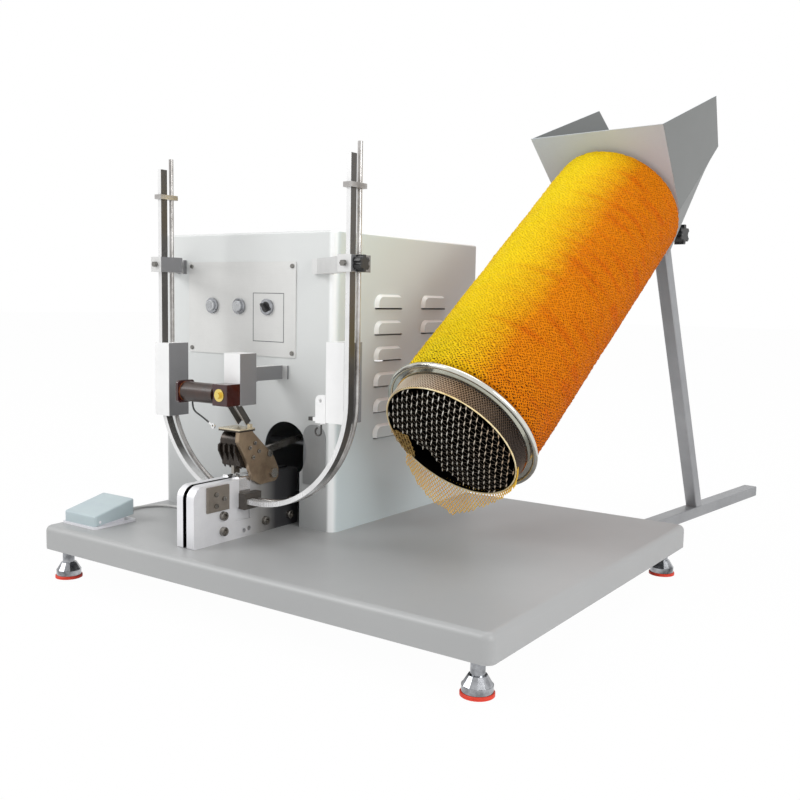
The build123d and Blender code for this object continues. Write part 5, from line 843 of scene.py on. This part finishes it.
# painted shade in the knit's openings, stronger near the ring and on the shaded side
net_pushed = add_node(net_tree, "MapRange", {"From Min": 0.02, "From Max": 0.22, "To Min": PIT_NEAR_RING,
                                             "To Max": PIT_FARTHER})
join(net_tree, tube_measure(tube_along), net_pushed.inputs["Value"])
net_depth = maths(net_tree, "MULTIPLY_ADD", net_turned.outputs[0], PIT_SIDE, PIT_TOP)
net_pit = maths(net_tree, "MULTIPLY", net_open, net_pushed.outputs[0])
net_depth = maths(net_tree, "MULTIPLY", net_depth, net_pit)
net_colour = blend_colours(net_tree, net_depth, net_thread_colour, NET_PIT)
net_near_ring = add_node(net_tree, "MapRange", {"From Min": FLECK_FROM, "From Max": FLECK_FULL})
join(net_tree, tube_measure(tube_along), net_near_ring.inputs["Value"])
net_fleck = maths(net_tree, "MULTIPLY", net_open, net_near_ring.outputs[0])
net_fleck = maths(net_tree, "MULTIPLY", net_fleck, net_knit.outputs["Wear"])
join(net_tree, blend_colours(net_tree, net_fleck, net_colour, NET_FLECK), net_shader.inputs["Base Color"])
net_bump = add_node(net_tree, "Bump", {"Strength": 0.9, "Distance": KNIT_DEPTH})
join(net_tree, net_knit.outputs["Height"], net_bump.inputs["Height"])
join(net_tree, net_bump.outputs[0], net_shader.inputs["Normal"])
net_shader.inputs["Roughness"].default_value = 0.62
net_shader.inputs["Specular IOR Level"].default_value = 0.08
print("sleeve material", len(net_tree.nodes), "nodes")

# %% [markdown]
# The sleeve's surface is made ring by ring. Noise lets the pleats wander, since even waves would look
# turned on a lathe, and a finer noise gives the crinkle. Both ends round off to the tube.

# %% Net sleeve surface
SLEEVE_START = 19
SLEEVE_END = 627
SLEEVE_INNER = 119.4
SLEEVE_OUTER = 130.2
SLEEVE_ROUND = 12
SLEEVE_ROWS = 270
SLEEVE_TURNS = 320
PLEAT_PITCH = 8.5
PLEAT_WANDER = 1.4
PLEAT_HEIGHT = 0.4
CRINKLE_HEIGHT = 1.9
WAVE_HEIGHT = 0.7
HEIGHT_KEPT_FREE = 1.6


def sleeve_radius(along, angle):
    """Radius of the gathered net: rounded ends, pleats that wander, and a small crinkle."""
    from_end = min(along - SLEEVE_START, SLEEVE_END - along)
    rounding = 1 - max(0, 1 - from_end / SLEEVE_ROUND) ** 2
    rounding = sqrt(max(0, rounding))
    place = Vector((cos(angle) * 3.2, sin(angle) * 3.2, along / 60))
    drift = noise.noise(place)
    pleat = sin(2 * pi * (along / PLEAT_PITCH + PLEAT_WANDER * drift))
    crinkle = noise.noise(Vector((cos(angle) * 26, sin(angle) * 26, along / 4.5)))
    height = SLEEVE_OUTER - SLEEVE_INNER - HEIGHT_KEPT_FREE
    height += PLEAT_HEIGHT * pleat + CRINKLE_HEIGHT * crinkle + WAVE_HEIGHT * drift
    return SLEEVE_INNER + rounding * height


sleeve_points, sleeve_faces, sleeve_uv = [], [], []
for row in range(SLEEVE_ROWS + 1):
    along = SLEEVE_START + (SLEEVE_END - SLEEVE_START) * row / SLEEVE_ROWS
    for column in range(SLEEVE_TURNS):
        angle = 2 * pi * column / SLEEVE_TURNS
        sleeve_points.append(on_tube(along, sleeve_radius(along, angle), angle))
for row in range(SLEEVE_ROWS):
    for column in range(SLEEVE_TURNS):
        after = (column + 1) % SLEEVE_TURNS
        corners = [(row, column), (row, after), (row + 1, after), (row + 1, column)]
        sleeve_faces.append([r * SLEEVE_TURNS + c for r, c in corners])
        for r, c in ((row, column), (row, column + 1), (row + 1, column + 1), (row + 1, column)):
            round_tube = 2 * pi * SLEEVE_OUTER * MM * c / SLEEVE_TURNS
            sleeve_uv.append((round_tube, (SLEEVE_END - SLEEVE_START) * MM * r / SLEEVE_ROWS))
net_sleeve = mesh_piece("gathered_net", sleeve_points, sleeve_faces, smooth=True)
uv_layer = net_sleeve.data.uv_layers.new(name="round and along")
for loop, place in zip(uv_layer.data, sleeve_uv):
    loop.uv = place
net_sleeve.data.materials.append(net_yellow)
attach(net_sleeve, "tube")
print("net sleeve", len(sleeve_faces), "faces")

# %% [markdown]
# ## Open net at the mouth
#
# Below the ring the net is drawn over the tube's end in one thin layer, hangs down across the mouth and
# ends in a loose tail. Here the single threads show, so they are geometry: a sheet of small diamonds is
# bent to shape, and a Wireframe modifier leaves only their edges as threads. A see-through net painted on
# a plain sheet would vanish when it is seen from the side.

# %% Open net maker


def open_net(name, place_at, wide, tall, keep, material, thread, stitch, wrap=False):
    """Diamonds of thread over a bent sheet; place_at turns (across, down) in millimetres into a point.

    The area that comes back is the threads' own in the flat cut: their length times half their girth.
    """
    columns = int(round(wide / stitch[0]))
    rows = int(round(tall / stitch[1]))
    step_x, step_y = wide / columns / 2, tall / rows
    index, points, faces, threads = {}, [], [], set()

    def corner(half_x, row):
        key = (half_x % (2 * columns) if wrap else half_x, row)
        if key not in index:
            index[key] = len(points)
            points.append(place_at(key[0] * step_x, row * step_y))
        return index[key]

    for row in range(1, rows):
        for column in range(columns):
            left = 2 * column + row % 2
            if not wrap and left + 2 > 2 * columns or not keep((left + 1) * step_x, row * step_y):
                continue
            around = [corner(left + aside, row + below)
                      for aside, below in ((1, -1), (0, 0), (1, 1), (2, 0))]
            faces.append(around)
            threads.update(frozenset(pair) for pair in zip(around, around[1:] + around[:1]))
    piece = mesh_piece(name, points, faces)
    wires = piece.modifiers.new("threads", "WIREFRAME")
    wires.thickness = thread * MM
    wires.use_even_offset = False
    wires.use_boundary = True
    piece.data.materials.append(material)
    area = len(threads) * sqrt(step_x ** 2 + step_y ** 2) * sqrt(2) * thread * MM ** 2
    print(name, "openings", len(faces), "thread area", round(area, 4))
    return piece, area


# %% [markdown]
# One yarn looks quite different in each place, and each place gets a finish of its own with its light and
# shade
# painted in: white where light passes through it, gold in the loose tail, brown under the ring's painted
# shade in the band, and nearly grey in the shade of the mouth, with painted shade to the right where the
# lamps don't reach.

# %% Thread finishes
# pale: a painted highlight on the net's fold over the rim
net_pale = finish("net pale thread", screen(250, 236, 196), screen(236, 200, 120), rough=0.4, marks=40,
                  drift=0.8, specks=0.2)
# painted light: the curtain's twisted threads are painted white
net_white = finish("net white thread", screen(250, 248, 240), screen(216, 204, 184), rough=0.4, marks=40,
                   drift=0.6, specks=0.2)
# painted shade on the curtain's right
retint(net_white, axis_mask("X", SHADE_FROM_X, SHADE_TO_X), screen(206, 176, 142))
net_shade = finish("net thread in shade", screen(92, 80, 66), screen(56, 47, 40), rough=0.5, marks=40)
net_gold = finish("net gold thread", screen(252, 208, 70), screen(238, 176, 36), rough=0.42, marks=40,
                  drift=0.8, specks=0.2)
net_ochre = finish("net ochre thread", screen(214, 176, 96), screen(98, 70, 42), rough=0.42, marks=150,
                   drift=1.0, specks=0.3)
net_brown = finish("net brown thread", screen(255, 246, 228), screen(232, 208, 178), rough=0.42, marks=30,
                   drift=0.9, specks=0.2)
# painted shade under the ring: the band's cream thread turns brown, then dark to the right
retint(net_brown, axis_mask("X", 0.15, 0.25), screen(176, 146, 114))
retint(net_brown, axis_mask("X", 0.24, 0.32), screen(64, 50, 40))
print("thread finishes", [m.name for m in bpy.data.materials if "thread" in m.name])

# %% [markdown]
# ## Band, curtain, bundle and tail
#
# The net runs from the sleeve under the steel ring and round the tube's end as a thin band. Its outline
# everywhere else is cut at an angle, so a helper reads a width off a broken line.

# %% Band between ring and mouth


def between(points, place):
    """The value at a place on a broken line of (place, value) points."""
    for (start, low), (end, high) in zip(points, points[1:]):
        if place <= end:
            return low + (high - low) * max(0, place - start) / (end - start)
    return points[-1][1]


MOUTH = -31
BAND_RADIUS = 120.6
BAND_LENGTH = 30
BAND_STITCH = (5.0, 3.2)
BAND_THREAD = 1.3
BAND_START = -0.6


def band_place(across, down):
    """Round the tube's end, from just under the ring down to the mouth."""
    return on_tube(BAND_START - down, BAND_RADIUS, across / BAND_RADIUS)


net_band, band_area = open_net("mouth_band_net", band_place, 2 * pi * BAND_RADIUS, BAND_LENGTH,
                               lambda across, down: True, net_brown, thread=BAND_THREAD,
                               stitch=BAND_STITCH, wrap=True)
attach(net_band, "tube")

# %% [markdown]
# The net folds over the mouth's rim and falls across the mouth like a curtain, bulging a little towards
# the operator. It is pulled long here, so that its stitches are tall: pairs of twisted threads show as
# pale dashes of painted light in nearly upright columns, and the single threads between them are painted
# shade. At the lower left it is gathered aside into a bundle at the rim, which leaves a dark gap. The wire
# maker above gives every thread one thickness, so the curtain is laid thread by thread, thick in the middle
# of each stitch.

# %% Curtain across the mouth
CURTAIN_RADIUS = 116
CURTAIN_LEAN = radians(26)
CURTAIN_BULGE = 9
CURTAIN_BEHIND_RIM = 1.2
SMALL_FOLD = 1.6
LARGE_FOLD = 3
GAP_TOP = 17
CURTAIN_COLUMN = 9.6
CURTAIN_ROW = 8.6
STEM_LENGTH = 11.5
THREAD_SIDES = 4
STEM_THREAD = 2.2
LINK_THREAD = 0.8
TIP_THREAD = 1.0
STEM_SLANT = 0.7
LINK_RISE = 1.6
CURTAIN_EDGE = ((-114, -2), (-96, -27), (-65, -44), (-31, -52), (-23, -59), (9, -79), (17, -112))
BUNDLE_EDGE = ((-47, -97), (-41, -91), (-24, -85), (9, -79), (15, -104))


def mouth_place(x, y):
    """A point of the curtain from its place in the mouth's plane, with its bulge and shallow folds."""
    inside = max(0, 1 - (x * x + y * y) / CURTAIN_RADIUS ** 2)
    fold = SMALL_FOLD * sin(x / 8) * inside
    fold += LARGE_FOLD * inside * noise.noise(Vector((x / 26, y / 40, 1)))
    along = MOUTH - CURTAIN_BEHIND_RIM - CURTAIN_BULGE * inside - fold
    return ring_middle + tube_along * (along * MM) + tube_side * (x * MM) + tube_up * (y * MM)


def leaning(column, row):
    """Place in the mouth's plane of a column and a height along the leaning columns."""
    return (column * cos(CURTAIN_LEAN) + row * sin(CURTAIN_LEAN),
            row * cos(CURTAIN_LEAN) - column * sin(CURTAIN_LEAN))


def in_curtain(x, y):
    """Inside the rim and right of the curtain's left edge."""
    return x * x + y * y < CURTAIN_RADIUS ** 2 and (y > GAP_TOP or x > between(CURTAIN_EDGE, y))


def stitch_place(column, row):
    """A point of the curtain by column and height, kept inside the rim."""
    x, y = leaning(column, row)
    inward = min(1, (CURTAIN_RADIUS + 1) / max(1, sqrt(x * x + y * y)))
    return mouth_place(x * inward, y * inward)


def thread_piece(points, faces, marks, start, end, widths, mark):
    """Adds a four-sided thread, as wide as widths says at start, middle and end; gives back its area."""
    along = (end - start).normalized()
    beside = along.cross(tube_along).normalized()
    over = along.cross(beside)
    first = len(points)
    for share, width in zip((0, 0.5, 1), widths):
        middle = start.lerp(end, share)
        reach = width * MM / 2
        points.extend(middle + push * reach for push in (beside, over, -beside, -over))
    for ring in (first, first + THREAD_SIDES):
        for side in range(THREAD_SIDES):
            after = (side + 1) % THREAD_SIDES
            faces.append([ring + side, ring + after, ring + THREAD_SIDES + after, ring + THREAD_SIDES + side])
    faces.append([first + 3, first + 2, first + 1, first])
    faces.append([first + 8, first + 9, first + 10, first + 11])
    marks.extend([mark] * (2 * THREAD_SIDES + 2))
    return (end - start).length * 2 * sum(widths) / 3 * sqrt(0.5) * MM


# the stems are painted lit white, the links painted shade
PALE, SHADED = 0, 1
STEM_WIDTHS = (TIP_THREAD, STEM_THREAD, TIP_THREAD)
TIP_WIDTHS = (TIP_THREAD,) * 3
LINK_WIDTHS = (LINK_THREAD,) * 3
curtain_mesh = ([], [], [])
curtain_area = 0
steps = int(CURTAIN_RADIUS // CURTAIN_ROW) + 1
for row in range(-steps, steps + 1):
    for column in range(-steps, steps + 1):
        if (row + column) % 2:
            continue
        middle, height = column * CURTAIN_COLUMN, row * CURTAIN_ROW
        if not in_curtain(*leaning(middle, height)):
            continue
        low = stitch_place(middle - STEM_SLANT, height - STEM_LENGTH / 2)
        high = stitch_place(middle + STEM_SLANT, height + STEM_LENGTH / 2)
        above = stitch_place(middle - STEM_SLANT, height + 2 * CURTAIN_ROW - STEM_LENGTH / 2)
        curtain_area += thread_piece(*curtain_mesh, low, high, STEM_WIDTHS, PALE)
        curtain_area += thread_piece(*curtain_mesh, high, above, TIP_WIDTHS, SHADED)
        start = stitch_place(middle, height + LINK_RISE)
        for aside in (-1, 1):
            beside = (middle + aside * CURTAIN_COLUMN, height + CURTAIN_ROW)
            if in_curtain(*leaning(*beside)):
                link = stitch_place(beside[0], beside[1] - LINK_RISE)
                curtain_area += thread_piece(*curtain_mesh, start, link, LINK_WIDTHS, SHADED)
curtain_points, curtain_faces, curtain_marks = curtain_mesh
net_curtain = mesh_piece("mouth_curtain_net", curtain_points, curtain_faces)
net_curtain.data.materials.append(net_white)
net_curtain.data.materials.append(net_shade)
net_curtain.data.polygons.foreach_set("material_index", curtain_marks)
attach(net_curtain, "tube")

# %% [markdown]
# The gathered bundle is the same net in small, close stitches with steep folds, in a darker colour. It
# fills the strip between the rim and the gap; its right edge is a broken line measured in the mouth's plane.

# %% Bundle at the left of the rim
BUNDLE_WIDE = 40
BUNDLE_TALL = 62
BUNDLE_LEFT = -118
BUNDLE_TOP = 16
BUNDLE_OUT = 2
BUNDLE_FOLD = 1.6
BUNDLE_THREAD = 1.2
BUNDLE_STITCH = (4.4, 3.4)


def bundle_place(across, down):
    """The bundle stands a little out of the mouth, with steep small folds."""
    point = mouth_place(across + BUNDLE_LEFT, BUNDLE_TOP - down)
    return point - tube_along * ((BUNDLE_OUT + BUNDLE_FOLD * sin(across * 0.9 + down * 0.25)) * MM)


def in_bundle(across, down):
    """Between the rim and the bundle's right edge."""
    x, y = across + BUNDLE_LEFT, BUNDLE_TOP - down
    in_height = BUNDLE_EDGE[0][0] < y < BUNDLE_EDGE[-1][0]
    return x * x + y * y < (CURTAIN_RADIUS + 1) ** 2 and in_height and x < between(BUNDLE_EDGE, y)


net_bundle, bundle_area = open_net("mouth_bundle_net", bundle_place, BUNDLE_WIDE, BUNDLE_TALL, in_bundle,
                                   net_ochre, thread=BUNDLE_THREAD, stitch=BUNDLE_STITCH)
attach(net_bundle, "tube")

# %% [markdown]
# Where the net turns over the rim its threads lie close and catch the light as one pale line. A thin
# uneven roll round the rim gives that line, and its pale colour is a painted highlight; its thickness wanders
# with a noise.

# %% Fold of the net over the mouth's rim
FOLD_STEPS = 180
FOLD_SIDES = 8
FOLD_RADIUS = 119.2
FOLD_THICK = 1.2
FOLD_UNEVEN = 0.4
FOLD_BELOW = 0.4
fold_points, fold_faces = [], []
for step in range(FOLD_STEPS):
    around = 2 * pi * step / FOLD_STEPS
    thick = FOLD_THICK + FOLD_UNEVEN * noise.noise(Vector((cos(around) * 9, sin(around) * 9, 0)))
    for side in range(FOLD_SIDES):
        turn = 2 * pi * side / FOLD_SIDES
        fold_points.append(on_tube(MOUTH - FOLD_BELOW + thick * sin(turn), FOLD_RADIUS + thick * cos(turn),
                                   around))
for step in range(FOLD_STEPS):
    following = (step + 1) % FOLD_STEPS
    for side in range(FOLD_SIDES):
        beside = (side + 1) % FOLD_SIDES
        fold_faces.append([step * FOLD_SIDES + side, step * FOLD_SIDES + beside,
                           following * FOLD_SIDES + beside, following * FOLD_SIDES + side])
net_fold = mesh_piece("mouth_fold_net", fold_points, fold_faces, smooth=True)
# the pale finish is a painted highlight on the fold
net_fold.data.materials.append(net_pale)
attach(net_fold, "tube")
print("fold", len(fold_faces), "faces")

# %% [markdown]
# The loose end hangs from the lower rim in gold threads, longest left of the middle and cut to a ragged
# point. Only its upper edge is held, so the waves start small there and grow downwards. Cloth simulation
# was left out, because a net this open has almost no sheet to swing.

# %% Tail under the mouth
TAIL_REACH = 121.5
TAIL_SIDE = 150
TAIL_TALL = 62
TAIL_ABOVE_RIM = 6
TAIL_WAVE = 2.2
TAIL_FOLD = 3
TAIL_RAGGED = 3
TAIL_THREAD = 1.9
TAIL_STITCH = (6.4, 4.2)
TAIL_DROP = ((-116, 22), (-104, 40), (-78, 51), (-48, 55), (-20, 40), (0, 30), (32, 19), (80, 9), (116, 7))


def tail_place(across, down):
    """Straight down from the lower rim of the mouth."""
    angle = (across - TAIL_SIDE) / TAIL_REACH
    rim = (ring_middle + tube_along * (MOUTH * MM) + tube_side * (TAIL_REACH * MM * sin(angle))
           - tube_up * (TAIL_REACH * MM * cos(angle)))
    wave = TAIL_WAVE * sin(across / 13) + TAIL_FOLD * noise.noise(Vector((across / 30, down / 30, 5)))
    forward = wave * min(1, down / 30) + 1
    return rim + Vector((0, 0, (TAIL_ABOVE_RIM - down) * MM)) + tube_run * (forward * MM)


def in_tail(across, down):
    """The tail is cut to a point left of its middle."""
    side = TAIL_REACH * sin((across - TAIL_SIDE) / TAIL_REACH)
    return down < between(TAIL_DROP, side) + TAIL_RAGGED * noise.noise(Vector((across / 9, 0, 2)))


net_tail, tail_area = open_net("mouth_tail_net", tail_place, 2 * TAIL_SIDE, TAIL_TALL, in_tail, net_gold,
                               thread=TAIL_THREAD, stitch=TAIL_STITCH)
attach(net_tail, "tube")
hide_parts("net_sleeve")
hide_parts("net_sleeve")
print("sleeve and tail stand for the CAD node net_sleeve")

# %% [markdown]
# ## Small marks on the control panel
#
# The selector sits in a thin frame line, and the left button's cap has turned rings. The line is a narrow
# raised strip of paint, and the rings are three thin beads on the cap that ride with it. Both could be a
# colour in the material, but a raised edge catches light and shade as real paint and turning marks do.

# %% Panel outline
LINE_WIDTH = 1.2
LINE_THICKNESS = 0.25
LINE_SUNK = 0.05
outline_dark = finish("panel line dark paint", screen(96, 98, 100), screen(70, 72, 74), rough=0.5, marks=60,
                      skin=1500)


def frame_line(name, x_span, z_span, y, material):
    """A rectangular line on an upright face that looks to the front, in machine millimetres."""
    (x_low, x_high), (z_low, z_high) = x_span, z_span
    points, faces = [], []
    for depth in (y, y - LINE_THICKNESS):
        for inset in (0, LINE_WIDTH):
            left, right = x_low + inset, x_high - inset
            low, high = z_low + inset, z_high - inset
            points += [spot(x, depth, z) for x, z in ((left, low), (right, low), (right, high), (left, high))]
    for side in range(4):
        after = (side + 1) % 4
        faces.append([side + 8, after + 8, after + 12, side + 12])
        faces.append([side, side + 4, after + 4, after])
        faces.append([side, after, after + 8, side + 8])
        faces.append([side + 4, side + 12, after + 12, after + 4])
    piece = mesh_piece(name, points, faces)
    piece.data.materials.append(material)
    return piece


plate_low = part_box("control_plate")[0]
plate_y = (plate_low[1] - PLATFORM_FRONT) / MM
selector_frame = frame_line("selector_frame_line", x_span=(246, 320), z_span=(326, 413),
                            y=plate_y + LINE_SUNK, material=outline_dark)
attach(selector_frame, "root")
print("frame line on the plate at", round(plate_y, 2), "mm")

# %% Turned rings on the power button
cap_low, cap_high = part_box("power_button")
cap_middle = Vector(((cap_low[0] + cap_high[0]) / 2, cap_low[1], (cap_low[2] + cap_high[2]) / 2))
ring_points, ring_faces = [], []
RING_RADII = (2.2, 4.6, 7.0)
RING_SIDES = 40
BEAD_SIDES = 6
BEAD_RADIUS = 0.32
for ring_radius in RING_RADII:
    base = len(ring_points)
    for turn_step in range(RING_SIDES):
        turn_angle = 2 * pi * turn_step / RING_SIDES
        outward = Vector((cos(turn_angle), 0, sin(turn_angle)))
        for bead_step in range(BEAD_SIDES):
            bead_angle = 2 * pi * bead_step / BEAD_SIDES
            proud = Vector((0, -BEAD_RADIUS * sin(bead_angle), 0))
            offset = outward * (ring_radius + BEAD_RADIUS * cos(bead_angle)) + proud
            ring_points.append(cap_middle + offset * MM)
    for turn_step in range(RING_SIDES):
        for bead_step in range(BEAD_SIDES):
            here = base + turn_step * BEAD_SIDES
            following = base + (turn_step + 1) % RING_SIDES * BEAD_SIDES
            after = (bead_step + 1) % BEAD_SIDES
            ring_faces.append([here + bead_step, here + after, following + after, following + bead_step])
cap_rings = mesh_piece("power_cap_rings", ring_points, ring_faces, smooth=True)
cap_rings.data.materials.append(outline_dark)
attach(cap_rings, "power_button")
print("turned rings", len(RING_RADII))
